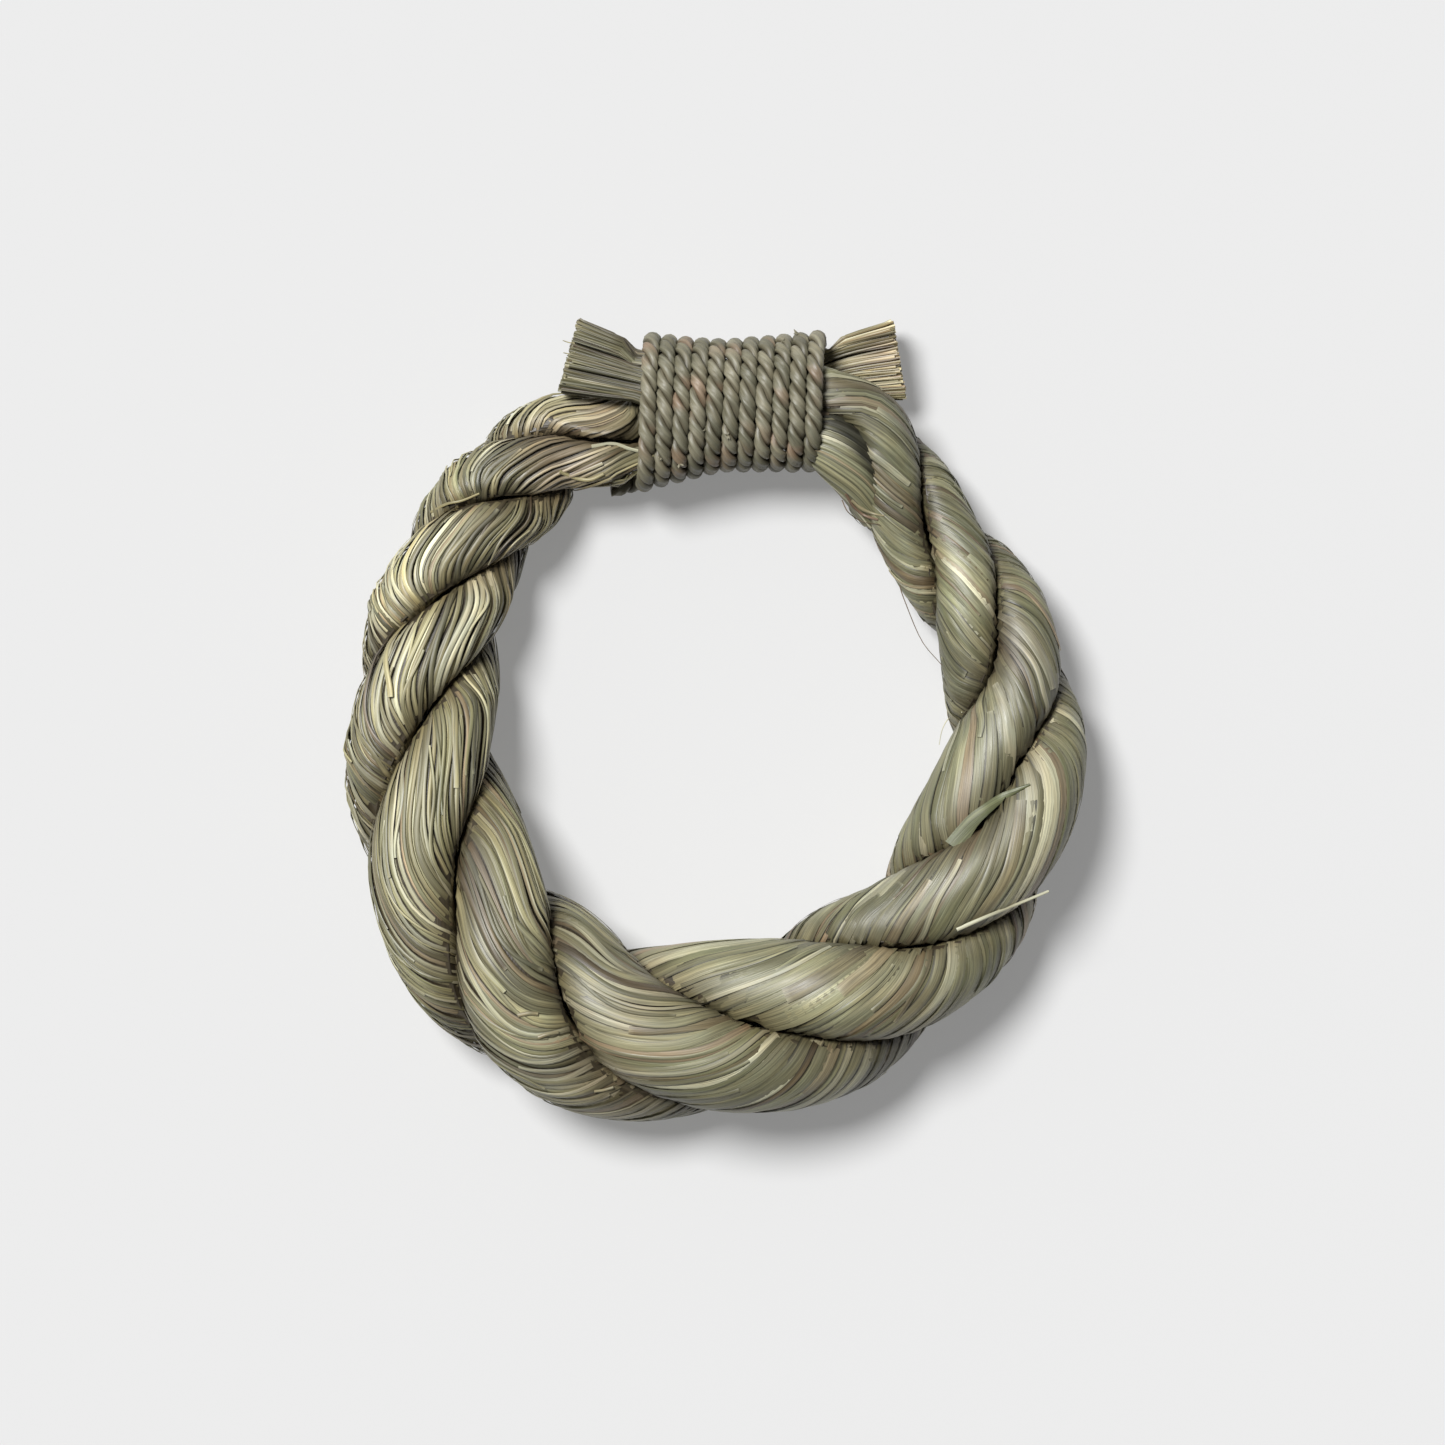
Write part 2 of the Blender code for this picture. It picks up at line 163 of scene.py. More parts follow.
# Broad patches of another colour: pixel of the photograph, radius in pixels, strength
PINK_PATCHES = (
    (560, 462, 44, 0.60),
    (606, 408, 26, 0.50),
    (500, 560, 40, 0.20),
    (640, 1000, 40, 0.20),
    (1010, 655, 45, 0.15),
    (905, 1000, 45, 0.18),
    (1065, 890, 45, 0.25),
    (965, 850, 40, 0.15),
    (885, 352, 20, 0.5),
    (600, 1085, 45, 0.20),
)

# Straw colours
GREEN = (0.178, 0.184, 0.112)
PALE = (0.50, 0.50, 0.36)
YELLOW = (0.33, 0.300, 0.160)
PINK = (0.29, 0.200, 0.135)
OLIVE = (0.100, 0.108, 0.050)
BROWN = (0.100, 0.066, 0.033)
LEAF = (0.125, 0.140, 0.066)
STUB = (0.24, 0.215, 0.125)
OLD_STRAW = (0.17, 0.115, 0.075)
# Painted shade: the near-black body under the straws, which stands for the shadow in their gaps
SHADOW_CORE_COLOUR = (0.045, 0.035, 0.018)
CORD_GREEN = (0.135, 0.132, 0.088)
CORD_PALE = (0.23, 0.22, 0.155)

# The strand that swells out beside the right mouth: its number, the part of the rope where its own
# straws lie lower, and the swelling over them: pixel of the photograph, height of the middle, half
# width and half depth in millimetres, and how far its straws turn round it. Then the layers of its
# straws: how many, and the ranges of their widths and heights in millimetres.
FULL_STRAND = 2
FULL_PLACE = 0.7080
FULL_LENGTH = 0.0150
FULL_DROP = 0.0016
MOUTH_SWELL = (
    (804, 426, 30.5, 9.4, 8.2),
    (826, 438, 31.5, 10.8, 9.2),
    (846, 458, 31.0, 11.0, 9.6),
    (863, 482, 27.5, 9.6, 9.0),
    (879, 516, 20.0, 6.5, 7.0),
)
SWELL_TWIST = 1.6
SWELL_LAYERS = ((30, (2.8, 4.4), (-0.45, 0.0)), (24, (0.7, 2.6), (0.05, 0.40)))
SWELL_SAMPLES = 20
SWELL_SIDES = 24
SWELL_YELLOW = 0.2
SWELL_CONTRAST = 0.28


def smooth_table(keys, rows, at):
    """Values of a smooth curve through the rows, at the places given along the keys."""
    keys = np.asarray(keys, float)
    rows = np.asarray(rows, float).reshape(len(keys), -1)
    steps = np.diff(keys)[:, None]
    slopes = np.diff(rows, axis=0) / steps
    inner = (slopes[:-1] * steps[1:] + slopes[1:] * steps[:-1]) / (steps[:-1] + steps[1:])
    tangents = np.vstack([slopes[:1], inner, slopes[-1:]])
    at = np.clip(np.asarray(at, float), keys[0], keys[-1])
    index = np.clip(np.searchsorted(keys, at, side="right") - 1, 0, len(keys) - 2)
    width = steps[index]
    t = (at - keys[index])[:, None] / width
    near = rows[index] * (1 + 2 * t) + tangents[index] * width * t
    far = rows[index + 1] * (3 - 2 * t) - tangents[index + 1] * width * (1 - t)
    return near * (1 - t) ** 2 + far * t**2


def laid(radius):
    """Spacing and half sizes of round strands laid side by side."""
    return LAY_RATIO * radius, radius, radius


def ring_knots():
    """The knots of the rope round the ring: line, turn, row, spacing and half sizes of a strand."""
    angles = [row[0] for row in RING_STATIONS]
    turned = smooth_table(LAY_ANGLES, SIXTH * np.arange(len(LAY_ANGLES)), KNOT_DEGREES)[:, 0]
    table = smooth_table(angles, [row[1:] for row in RING_STATIONS], KNOT_DEGREES)
    knots = []
    for degrees, turn, (distance, fullness) in zip(KNOT_DEGREES, turned, table, strict=True):
        angle = math.radians(degrees)
        radius = (END_ROPE_RADIUS + fullness * (ROPE_RADIUS - END_ROPE_RADIUS)) / (1 + LAY_RATIO)
        height = radius * (LAY_RATIO + 1) - FLAT_DEPTH
        across, along = -math.sin(angle) * RING_RADIUS * distance, math.cos(angle) * RING_RADIUS * distance
        knots.append((across, along, height, turn, 0.0, *laid(radius)))
    return knots


def end_knots(side, lay, swelling, rises, tuft_length, tuft_spread):
    """The knots of one rope end, from its own mouth of the binding to the tuft past the other mouth."""
    rises = [rise * CORE_HALF_HEIGHT for rise in rises]
    row = (CORE_HALF_HEIGHT * 2 / 3, CORE_HALF_HEIGHT * 0.38, LAYER_DEPTH)
    thinned = (CORE_HALF_HEIGHT * 0.52, CORE_HALF_HEIGHT * 0.30, LAYER_DEPTH * 0.95)
    squeezed = (NECK_HEIGHT * 0.30, NECK_HEIGHT * 0.15, NECK_HALF_DEPTH)
    neck = (NECK_HEIGHT / 3, NECK_HEIGHT / 6, NECK_HALF_DEPTH)
    tip = (tuft_spread / 3, tuft_spread / 6, NECK_HALF_DEPTH * 1.15)
    depth = side * LAYER_DEPTH
    stages = (
        (1.35, rises[0], 0.15 * depth, 0.0, laid(END_STRAND_RADIUS * swelling)),
        (1.00, rises[1], 0.75 * depth, 0.4, laid(END_STRAND_RADIUS)),
        (0.55, rises[1] * 0.45, depth, 1.0, row),
        (0.00, 0.0, depth, 1.0, row),
        (-0.55, rises[2] * 0.6, depth, 1.0, thinned),
        (-1.00, rises[2] * 0.85, depth, 1.0, squeezed),
        (-1.20, rises[2], depth, 1.0, neck),
    )
    knots = [
        (BINDING_X + side * share * BINDING_HALF, BINDING_Y + rise, BINDING_Z + z, lay, flat, *sizes)
        for share, rise, z, flat, sizes in stages
    ]
    tip_x = BINDING_X - side * (BINDING_HALF + tuft_length)
    knots.append((tip_x, BINDING_Y + rises[3], BINDING_Z + 0.8 * depth, lay, 1.0, *tip))
    return knots


def rope_knots():
    """The knots of the whole rope, from the right tuft round the ring to the left tuft."""
    left = end_knots(-1, LAY_AT_MOUTH, LEFT_END_FULLNESS, LEFT_END_RISES, *RIGHT_TUFT)
    right = end_knots(1, LAY_AT_MOUTH + RING_LAY, RIGHT_END_FULLNESS, RIGHT_END_RISES, *LEFT_TUFT)
    return np.array(left[::-1] + ring_knots() + right)


def bundle_at(x):
    """The middle and the half height of the bundle inside the cord, at places along the binding."""
    share = (np.ravel(x) - BINDING_X) / (2 * BINDING_HALF) + 0.5
    keys = [row[0] for row in BUNDLE_STATIONS]
    table = smooth_table(keys, [row[1:] for row in BUNDLE_STATIONS], share)
    middle = BINDING_Y + table[:, 0] * CORD_DIAMETER
    return middle.reshape(np.shape(x)), (table[:, 1] * CORE_HALF_HEIGHT).reshape(np.shape(x))


def covered(number, at):
    """How far a strand lies under the swelling beside the right mouth, at places along it."""
    return np.exp(-(((at - FULL_PLACE) / FULL_LENGTH) ** 4)) * (number == FULL_STRAND)


ROPE_SAMPLES = 1800
END_SHARE = 0.25
LEFT_MOUTH_DEGREES = 60
IN_ROW = 0.3
EDGE_GAIN = 1.2
EDGE_SHARPNESS = 1.5
LEAST_TWIST = 0.1
LEAST_FACING = 0.02
PARTING_SINK = 1.0 * MM
LEAST_REACH = 0.5 * MM


class Rope:
    """The rope's state at close places along it, and the surface of each strand."""

    def __init__(self):
        knots = rope_knots()
        gaps = np.linalg.norm(np.diff(knots[:, LINE], axis=0), axis=1)
        keys = np.concatenate([[0], np.cumsum(gaps)])
        self.length = keys[-1]
        self.at = np.linspace(0, self.length, ROPE_SAMPLES)
        self.state = smooth_table(keys, knots, self.at)
        travel = np.gradient(self.state[:, :2], axis=0)
        travel /= np.linalg.norm(travel, axis=1)[:, None]
        self.outward = np.stack([travel[:, 1], -travel[:, 0]], axis=1)
        turning = np.gradient(self.state[:, TURN], self.at)
        self.turning = np.maximum(turning, 0)
        self.stretch = np.hypot(1, np.abs(turning) * self.state[:, SPACING])
        self.row = np.clip(self.state[:, ROW], 0, 1)
        degrees = np.degrees(np.arctan2(-self.state[:, 0], self.state[:, 1])) % 360
        early = (self.at < self.length * END_SHARE) & (self.state[:, 1] > 0)
        late = (self.at > self.length * (1 - END_SHARE)) & (degrees < 180)
        degrees = np.where(early, np.minimum(degrees, LEFT_MOUTH_DEGREES), degrees)
        degrees = np.where(late, 360, degrees)
        stations = [row[0] for row in STRAW_STATIONS]
        self.look = smooth_table(stations, [row[1:] for row in STRAW_STATIONS], degrees)
        self.places = []
        self.turned = []
        for number in range(STRAND_COUNT):
            turned = 2 * SIXTH + LAY_STEP * number - self.state[:, TURN]
            across = np.cos(turned)
            in_row = np.where(np.abs(across) < IN_ROW, 0.0, np.sign(across))
            across = (1 - self.row) * across + self.row * in_row
            place = np.stack([across, (1 - self.row) * np.sin(turned)], axis=1)
            self.places.append(place * self.state[:, SPACING][:, None])
            self.turned.append(turned)
        self.windings = [self.winding(number) for number in range(STRAND_COUNT)]

    def winding(self, number):
        """How far the straws of a strand have wound round it, along the rope."""
        turned = self.turned[number]
        look = self.look
        side = np.cos(turned)
        edges = EDGE_GAIN * (1 - np.abs(np.sin(turned))) ** EDGE_SHARPNESS
        twist = look[:, MIDDLE_TWIST] + look[:, EDGE_TWIST] * edges
        twist = twist + look[:, OUTER_TWIST] * side * np.abs(side)
        rate = (1 + np.maximum(twist, LEAST_TWIST)) * self.turning
        rate = np.maximum(rate, look[:, LEAST_SLOPE] / self.state[:, HALF_UP])
        return np.concatenate([[0], np.cumsum((rate[1:] + rate[:-1]) / 2 * np.diff(self.at))])

    def value(self, table, at):
        return np.interp(at, self.at, table)

    def surface(self, number, at, angle, height):
        """Points at a height over a strand's face, at angles from the strand's own outward direction."""
        height = height - FULL_DROP * covered(number, at)
        turned = self.value(self.turned[number], at)
        direction = turned + angle
        row = self.value(self.row, at)
        half_up = self.value(self.state[:, HALF_UP], at)
        half_across = self.value(self.state[:, HALF_ACROSS], at)
        stretch = self.value(self.stretch, at)
        round_reach = half_up / np.hypot(np.cos(angle), np.sin(angle) / stretch)
        across = np.abs(np.cos(direction) / half_across) ** TUFT_SQUARENESS
        up = np.abs(np.sin(direction) / half_up) ** TUFT_SQUARENESS
        reach = (1 - row) * round_reach + row * (across + up) ** (-1 / TUFT_SQUARENESS) + height
        own = [self.value(self.places[number][:, axis], at) for axis in (0, 1)]
        for other in range(STRAND_COUNT):
            if other != number:
                apart = [self.value(self.places[other][:, axis], at) - own[axis] for axis in (0, 1)]
                distance = np.hypot(*apart)
                towards = (np.cos(direction) * apart[0] + np.sin(direction) * apart[1]) / distance
                limit = distance / 2 + np.clip(height, -PARTING_SINK, 0.0)
                limit = limit / np.maximum(towards, LEAST_FACING)
                reach = np.where(towards > LEAST_FACING, np.minimum(reach, limit), reach)
        reach = np.maximum(reach, LEAST_REACH)
        return self.settle(at, own[0] + reach * np.cos(direction), own[1] + reach * np.sin(direction), height)

    def settle(self, at, across, up, height=0.0):
        """Points of the rope's section in space, kept inside the binding and on their own side of it."""
        line = [self.value(self.state[:, axis], at) for axis in range(3)]
        x = line[0] + across * self.value(self.outward[:, 0], at)
        y = line[1] + across * self.value(self.outward[:, 1], at)
        z = line[2] + up
        offset = x - BINDING_X
        end = BINDING_HALF + RIGHT_TUFT[0] + END_STRAND_RADIUS
        beside = (np.abs(line[0] - BINDING_X) < end) & (line[1] > 0)
        layer = np.where(at < self.length / 2, -1, 1)
        lean = -PARTING_LEAN * np.clip(offset / BINDING_HALF, -1, 1)
        rise = np.interp(offset, (-BINDING_HALF, BINDING_HALF), PARTING_RISES)
        crossing = BINDING_Y + rise * CORE_HALF_HEIGHT
        over = layer * ((y - crossing) * np.sin(lean) + (z - BINDING_Z) * np.cos(lean))
        short = np.where(beside, np.maximum(CLEARANCE / 2 - height - over, 0), 0) * layer
        y = y + short * np.sin(lean)
        z = z + short * np.cos(lean)
        middle, half_height = bundle_at(x)
        flare = np.maximum(0, np.abs(offset) - BINDING_HALF - MOUTH_START * CORD_DIAMETER) * MOUTH_FLARE
        filled = np.abs((y - middle) / (half_height + height + flare)) ** BUNDLE_SQUARENESS
        filled += np.abs((z - BINDING_Z) / (CORE_HALF_DEPTH + height + flare)) ** BUNDLE_SQUARENESS
        shrink = np.where(beside & (filled > 1), np.maximum(filled, 1e-9) ** (-1 / BUNDLE_SQUARENESS), 1)
        y = middle + (y - middle) * shrink
        z = BINDING_Z + (z - BINDING_Z) * shrink
        return lifted(np.stack([x, y, z], axis=-1)) + PART_SHIFT


FLOOR_SOFTNESS = 0.0012


def lifted(points):
    """Points pressed flat where they would reach under the floor."""
    low = FLOOR_SOFTNESS * np.exp(np.minimum(points[..., 2] - FLOOR_SOFTNESS, 0) / FLOOR_SOFTNESS)
    points[..., 2] = np.where(points[..., 2] < FLOOR_SOFTNESS, low, points[..., 2])
    return points


def ramp(values, start, length):
    """0 up to the start, 1 from a length past it, and even in between."""
    return np.clip((values - start) / length, 0, 1)


def unit(vectors):
    """The vectors at length one."""
    return vectors / np.maximum(np.linalg.norm(vectors, axis=-1, keepdims=True), 1e-12)


def placed(name, data):
    """A new object in the scene."""
    made = bpy.data.objects.new(name, data)
    bpy.context.scene.collection.objects.link(made)
    return made


def shader_node(nodes, kind, values=(), **settings):
    """A new shader node with its settings, and then with the values of its inputs."""
    made = nodes.new("ShaderNode" + kind)
    for name, value in settings.items():
        setattr(made, name, value)
    set_inputs(made, dict(values))
    return made


def set_inputs(node, values):
    for name, value in values.items():
        node.inputs[name].default_value = value


SHARP_ANGLE = math.radians(55)


class Fibres:
    """Gathers bands of points, each with a colour and its place in the grain, into one mesh."""

    def __init__(self):
        self.points, self.faces, self.tints, self.grains = [], [], [], []
        self.count = 0

    def add(self, points, tint, grain, closed=False):
        """points are bands x places along x places across; tint and grain belong to each point."""
        bands, along, across = points.shape[:3]
        index = self.count + np.arange(bands * along * across).reshape(bands, along, across)
        following = np.roll(index, -1, axis=2)
        if not closed:
            index_now, following = index[:, :, :-1], following[:, :, :-1]
        else:
            index_now = index
        corners = [index_now[:, :-1], index_now[:, 1:], following[:, 1:], following[:, :-1]]
        quads = np.stack(corners, axis=-1)
        self.faces.extend(quads.reshape(-1, 4).tolist())
        if closed:
            self.faces.extend(index[:, 0].tolist())
            self.faces.extend(index[:, -1, ::-1].tolist())
        self.points.append(points.reshape(-1, 3))
        self.tints.append(np.broadcast_to(tint, points.shape).reshape(-1, 3))
        self.grains.append(np.broadcast_to(grain, points.shape).reshape(-1, 3))
        self.count += points.size // 3

    def piece(self, name):
        mesh = bpy.data.meshes.new(name)
        points = np.concatenate(self.points)
        mesh.from_pydata(points.tolist(), [], self.faces)
        tints = mesh.attributes.new("tint", "FLOAT_COLOR", "POINT")
        colours = np.concatenate([np.concatenate(self.tints), np.ones((len(points), 1))], axis=1)
        tints.data.foreach_set("color", colours.astype(np.float32).ravel())
        grains = mesh.attributes.new("grain", "FLOAT_VECTOR", "POINT")
        grains.data.foreach_set("vector", np.concatenate(self.grains).astype(np.float32).ravel())
        mesh.shade_smooth()
        mesh.set_sharp_from_angle(angle=SHARP_ANGLE)
        return placed(name, mesh)


# The grain of straw: how often it changes along a fibre, across it and from straw to straw, and the
# noise's detail. Then how far the broad grain and the blotches reach.
FINE_GRAIN = ((45, 2600, 40), 4.0)
BROAD_GRAIN = ((35, 900, 17), 2.0)
BLOTCHES = ((90, 260, 31), 2.0)
BROAD_SHADE = (0.78, 1.20)
BROAD_ROUGHNESS = (-0.06, 0.10)
BLOTCH_WARMTH = 0.50
WARM_TONE = (1.10, 0.95, 0.80, 1)
STREAK_LIGHT = 0.7
RELIEF_DEPTH = 0.2 * MM
STRAW_SPECULAR = 0.80


def straw_material(name, roughness, streaks, relief):
    """Dry straw: the point colours, streaked along the fibres, with a fine relief of ribs."""
    made = bpy.data.materials.new(name)
    made.use_nodes = True
    nodes, links = made.node_tree.nodes, made.node_tree.links
    shader = nodes["Principled BSDF"]
    tint = shader_node(nodes, "Attribute", attribute_name="tint")
    grain = shader_node(nodes, "Attribute", attribute_name="grain")

    def noise(scale, detail):
        mapping = shader_node(nodes, "Mapping", {"Scale": scale})
        links.new(grain.outputs["Vector"], mapping.inputs["Vector"])
        texture = shader_node(nodes, "TexNoise", {"Scale": 1.0, "Detail": detail})
        links.new(mapping.outputs["Vector"], texture.inputs["Vector"])
        return texture.outputs["Fac"]

    def spread(factor, low, high):
        ranges = {"From Min": 0.3, "From Max": 0.7, "To Min": low, "To Max": high}
        ranged = shader_node(nodes, "MapRange", ranges)
        links.new(factor, ranged.inputs["Value"])
        return ranged.outputs["Result"]

    fine = noise(*FINE_GRAIN)
    broad = noise(*BROAD_GRAIN)
    blotches = noise(*BLOTCHES)
    shade = shader_node(nodes, "Math", operation="MULTIPLY")
    links.new(spread(fine, 1 - streaks, 1 + streaks * STREAK_LIGHT), shade.inputs[0])
    links.new(spread(broad, *BROAD_SHADE), shade.inputs[1])
    toned = shader_node(nodes, "VectorMath", operation="SCALE")
    links.new(tint.outputs["Color"], toned.inputs[0])
    links.new(shade.outputs["Value"], toned.inputs["Scale"])
    warm = shader_node(nodes, "Mix", {"B": WARM_TONE}, data_type="RGBA", blend_type="MULTIPLY")
    links.new(spread(blotches, 0.0, BLOTCH_WARMTH), warm.inputs["Factor"])
    links.new(toned.outputs["Vector"], warm.inputs["A"])
    links.new(warm.outputs["Result"], shader.inputs["Base Color"])
    rough = shader_node(nodes, "Math", {1: roughness}, operation="ADD")
    links.new(spread(broad, *BROAD_ROUGHNESS), rough.inputs[0])
    links.new(rough.outputs["Value"], shader.inputs["Roughness"])
    bump = shader_node(nodes, "Bump", {"Strength": relief, "Distance": RELIEF_DEPTH})
    links.new(fine, bump.inputs["Height"])
    links.new(bump.outputs["Normal"], shader.inputs["Normal"])
    shader.inputs["Specular IOR Level"].default_value = STRAW_SPECULAR
    return made


# The rarer straws: colour, the range of the draw that picks them, and how strong the colour gets
PALE_PICK = (0.10, 0.35)
PALE_MOST = 0.85
RARE_STRAWS = ((PINK, 0.60, 0.66, 0.6), (OLIVE, 0.66, 0.80, 0.7), (BROWN, 0.80, 0.87, 0.8))


def straw_tints(random, yellow, contrast):
    """A colour for each straw, from its share of yellow ones and how much neighbours differ."""
    count = len(yellow)
    pick = random.random(count)
    share = (yellow * (0.55 + 0.9 * random.random(count))).clip(0, 1)[:, None]
    colours = np.array(GREEN) * (1 - share) + np.array(YELLOW) * share
    pale = (PALE, 0, PALE_PICK[0] + PALE_PICK[1] * yellow, PALE_MOST)
    for colour, low, high, most in (pale, *RARE_STRAWS):
        chosen = ((pick >= low) & (pick < high))[:, None]
        blend = chosen * most * (0.4 + 0.6 * random.random((count, 1)))
        colours = colours * (1 - blend) + np.array(colour) * blend
    return colours * (1 + contrast * random.uniform(-1, 1, count))[:, None]


ACROSS = np.array([-0.5, -0.32, 0.0, 0.32, 0.5])
RIM = np.abs(ACROSS) > 0.4


def ribbon(centre, normal, tangent, width, radius, arch, edge, tilt):
    """Points across ribbons that lie on a surface: bands x places along x 5 across."""
    across = unit(np.cross(normal, tangent))
    x = width[..., None] * ACROSS
    z = -arch[..., None] * (2 * ACROSS) ** 2 * width[..., None] - x**2 / (2 * radius[..., None])
    z = z - edge[..., None] * RIM + tilt[..., None] * x
    return centre[..., None, :] + across[..., None, :] * x[..., None] + normal[..., None, :] * z[..., None]


def between(random, narrow, wide_range, narrow_range):
    """Random values between two ranges, by how narrow the straws are."""
    share = random.random(len(narrow))
    wide = wide_range[0] + (wide_range[1] - wide_range[0]) * share
    thin = narrow_range[0] + (narrow_range[1] - narrow_range[0]) * share
    return (wide * (1 - narrow) + thin * narrow)[:, None]


UPPER_SIDE = 0.02


def patched(tint, points):
    """The tints with the broad pinkish patches over them, by the points' places."""
    for px, py, radius, strength in PINK_PATCHES:
        x, y = from_pixel(px, py)
        far = np.hypot(points[..., 0] - x, points[..., 1] - y) / (radius * PIXEL)
        blend = (strength * np.exp(-far**2) * (points[..., 2] > UPPER_SIDE))[..., None]
        tone = tint.mean(axis=-1, keepdims=True) / np.mean(PINK)
        tint = tint * (1 - blend) + np.array(PINK) * np.clip(tone, 0.6, 1.4) * blend
    return tint


# Where straws start and end. They reach a little way into the binding and stop short of the tufts.
# Near the mouths they run right round the strand, elsewhere only over its face, in degrees each way.
UNEVEN_STEP = 0.3
RUN_INSIDE = 0.012
TUFT_END = 0.02
MOUTH_REACH = (0.085, 0.120)
HALF_RUNS = (185, 110)
UNEVEN_RUN = 0.06
CUT_BEFORE = 60
CUT_PAST = 70
SHORTEST_RUN = 25


def straw_runs(rope, number, random, density, cut_share):
    """Where the straws of a layer lie, and where each starts and ends in the winding round its strand."""
    winding = rope.windings[number]
    pitch = rope.look[:, WIDTH] * MM / density
    rate = np.gradient(winding, rope.at) * rope.state[:, HALF_UP] / pitch
    crossings = np.concatenate([[0], np.cumsum((rate[1:] + rate[:-1]) / 2 * np.diff(rope.at))])
    count = int(crossings[-1])
    steps = np.arange(count) + 0.5 + random.uniform(-UNEVEN_STEP, UNEVEN_STEP, count)
    seeds = np.interp(steps, crossings, rope.at)
    inside = BINDING_HALF - RUN_INSIDE
    past_left = (rope.state[:, 0] < BINDING_X - inside) & (rope.at > TUFT_END)
    first = rope.at[np.argmax(past_left)]
    past_right = (rope.state[::-1, 0] > BINDING_X + inside) & (rope.at[::-1] < rope.length - TUFT_END)
    last = rope.at[::-1][np.argmax(past_right)]
    middle = np.interp(seeds, rope.at, winding)
    half_run = np.interp(np.minimum(seeds - first, last - seeds), MOUTH_REACH, HALF_RUNS) * DEGREE
    start = -half_run * (1 + random.uniform(-UNEVEN_RUN, UNEVEN_RUN, count))
    end = half_run * (1 + random.uniform(-UNEVEN_RUN, UNEVEN_RUN, count))
    cut = random.random(count)
    cut_start = cut < cut_share / 2
    cut_end = cut > 1 - cut_share / 2
    start = np.where(cut_start, random.uniform(-CUT_BEFORE, 0, count) * DEGREE, start)
    end = np.where(cut_end, random.uniform(0, CUT_PAST, count) * DEGREE, end)
    low = np.maximum(middle + start, np.interp(first, rope.at, winding))
    high = np.minimum(middle + end, np.interp(last, rope.at, winding))
    kept = high - low > SHORTEST_RUN * DEGREE
    own_width = np.interp(seeds[kept], rope.at, rope.look[:, WIDTH])
    return SimpleNamespace(
        count=int(kept.sum()),
        seeds=seeds[kept],
        steps=steps[kept] / density,
        middle=middle[kept],
        low=low[kept],
        high=high[kept],
        cut_start=cut_start[kept],
        cut_end=cut_end[kept],
        own_width=own_width,
        narrow=((WIDE_STRAW - own_width) / (WIDE_STRAW - NARROW_STRAW)).clip(0, 1),
    )


# How straws lie over each other: widths in millimetres from which they count as narrow or wide, how
# many lie together in a clump, how far a clump bends and rises, and how far a straw rises along itself
NARROW_STRAW = 2.0
WIDE_STRAW = 3.6
STRAW_SAMPLES = 22
CLUMP_SEED = 60
CLUMP_COUNT = 400
CLUMP_STRAWS = 4.1
CLUMP_BEND = 9 * DEGREE
CLUMP_RISE = 0.45 * MM
UNEVEN_RISE = 0.25
WAVES = 7

# Straws sink at the edges of the face, in degrees from its middle. Where they fold, they rise to a
# ridge, which lies towards the rope's outer side.
SINK_START, SINK_LENGTH, SINK = 68, 25, 1.3 * MM
FOLD_RIDGE, FOLD_FLAT, FOLD_LENGTH = 1.25, 0.22, 20 * DEGREE
FOLD_SHIFT, UNEVEN_FOLD = 12, 6


def lay_straws(rope, number, random, straws, heights, slack):
    """Adds each straw's line: places along the rope, angles on the strand and heights over it."""
    share = np.linspace(0, 1, STRAW_SAMPLES)[None, :]
    wound = straws.low[:, None] + (straws.high - straws.low)[:, None] * share
    at = np.interp(wound, rope.windings[number], rope.at)
    shared = np.random.default_rng(CLUMP_SEED + number)
    table = shared.uniform(-1, 1, (CLUMP_COUNT, 3))
    clumps = smooth_table(np.arange(CLUMP_COUNT), table, straws.steps / CLUMP_STRAWS)
    own_slack = slack * (0.5 + 0.5 * straws.narrow)[:, None] * DEGREE
    each = (straws.count, 1)
    bend = clumps[:, :1] * CLUMP_BEND + random.uniform(-1, 1, each) * own_slack
    wave = random.uniform(-1, 1, each) * own_slack / 3
    phase = random.uniform(0, 6.28, each)
    angle = wound - straws.middle[:, None] + bend * (share - 0.5) + wave * np.sin(share * WAVES + phase)
    height = between(random, straws.narrow, heights[0], heights[1]) * MM
    height = height + random.uniform(-UNEVEN_RISE, UNEVEN_RISE, each) * MM * (share - 0.5)
    height = height + CLUMP_RISE * clumps[:, 1:2]
    height = height - SINK * ramp(np.abs(angle) / DEGREE, SINK_START, SINK_LENGTH)
    folds = np.interp(straws.seeds, rope.at, rope.look[:, FOLDS])[:, None]
    folds = folds * (0.7 + clumps[:, :1] + random.uniform(-0.2, 0.2, each))
    direction = angle + np.interp(at, rope.at, rope.turned[number])
    fold = (FOLD_SHIFT * clumps[:, 1:2] + random.uniform(-UNEVEN_FOLD, UNEVEN_FOLD, each)) * DEGREE
    from_fold = np.abs((direction - fold + math.pi) % (2 * math.pi) - math.pi)
    height = height + folds * MM * (FOLD_RIDGE * np.maximum(0, 1 - from_fold / FOLD_LENGTH) - FOLD_FLAT)
    straws.share, straws.wound, straws.at, straws.phase = share, wound, at, phase
    straws.angle, straws.height, straws.clumps = angle, height, clumps


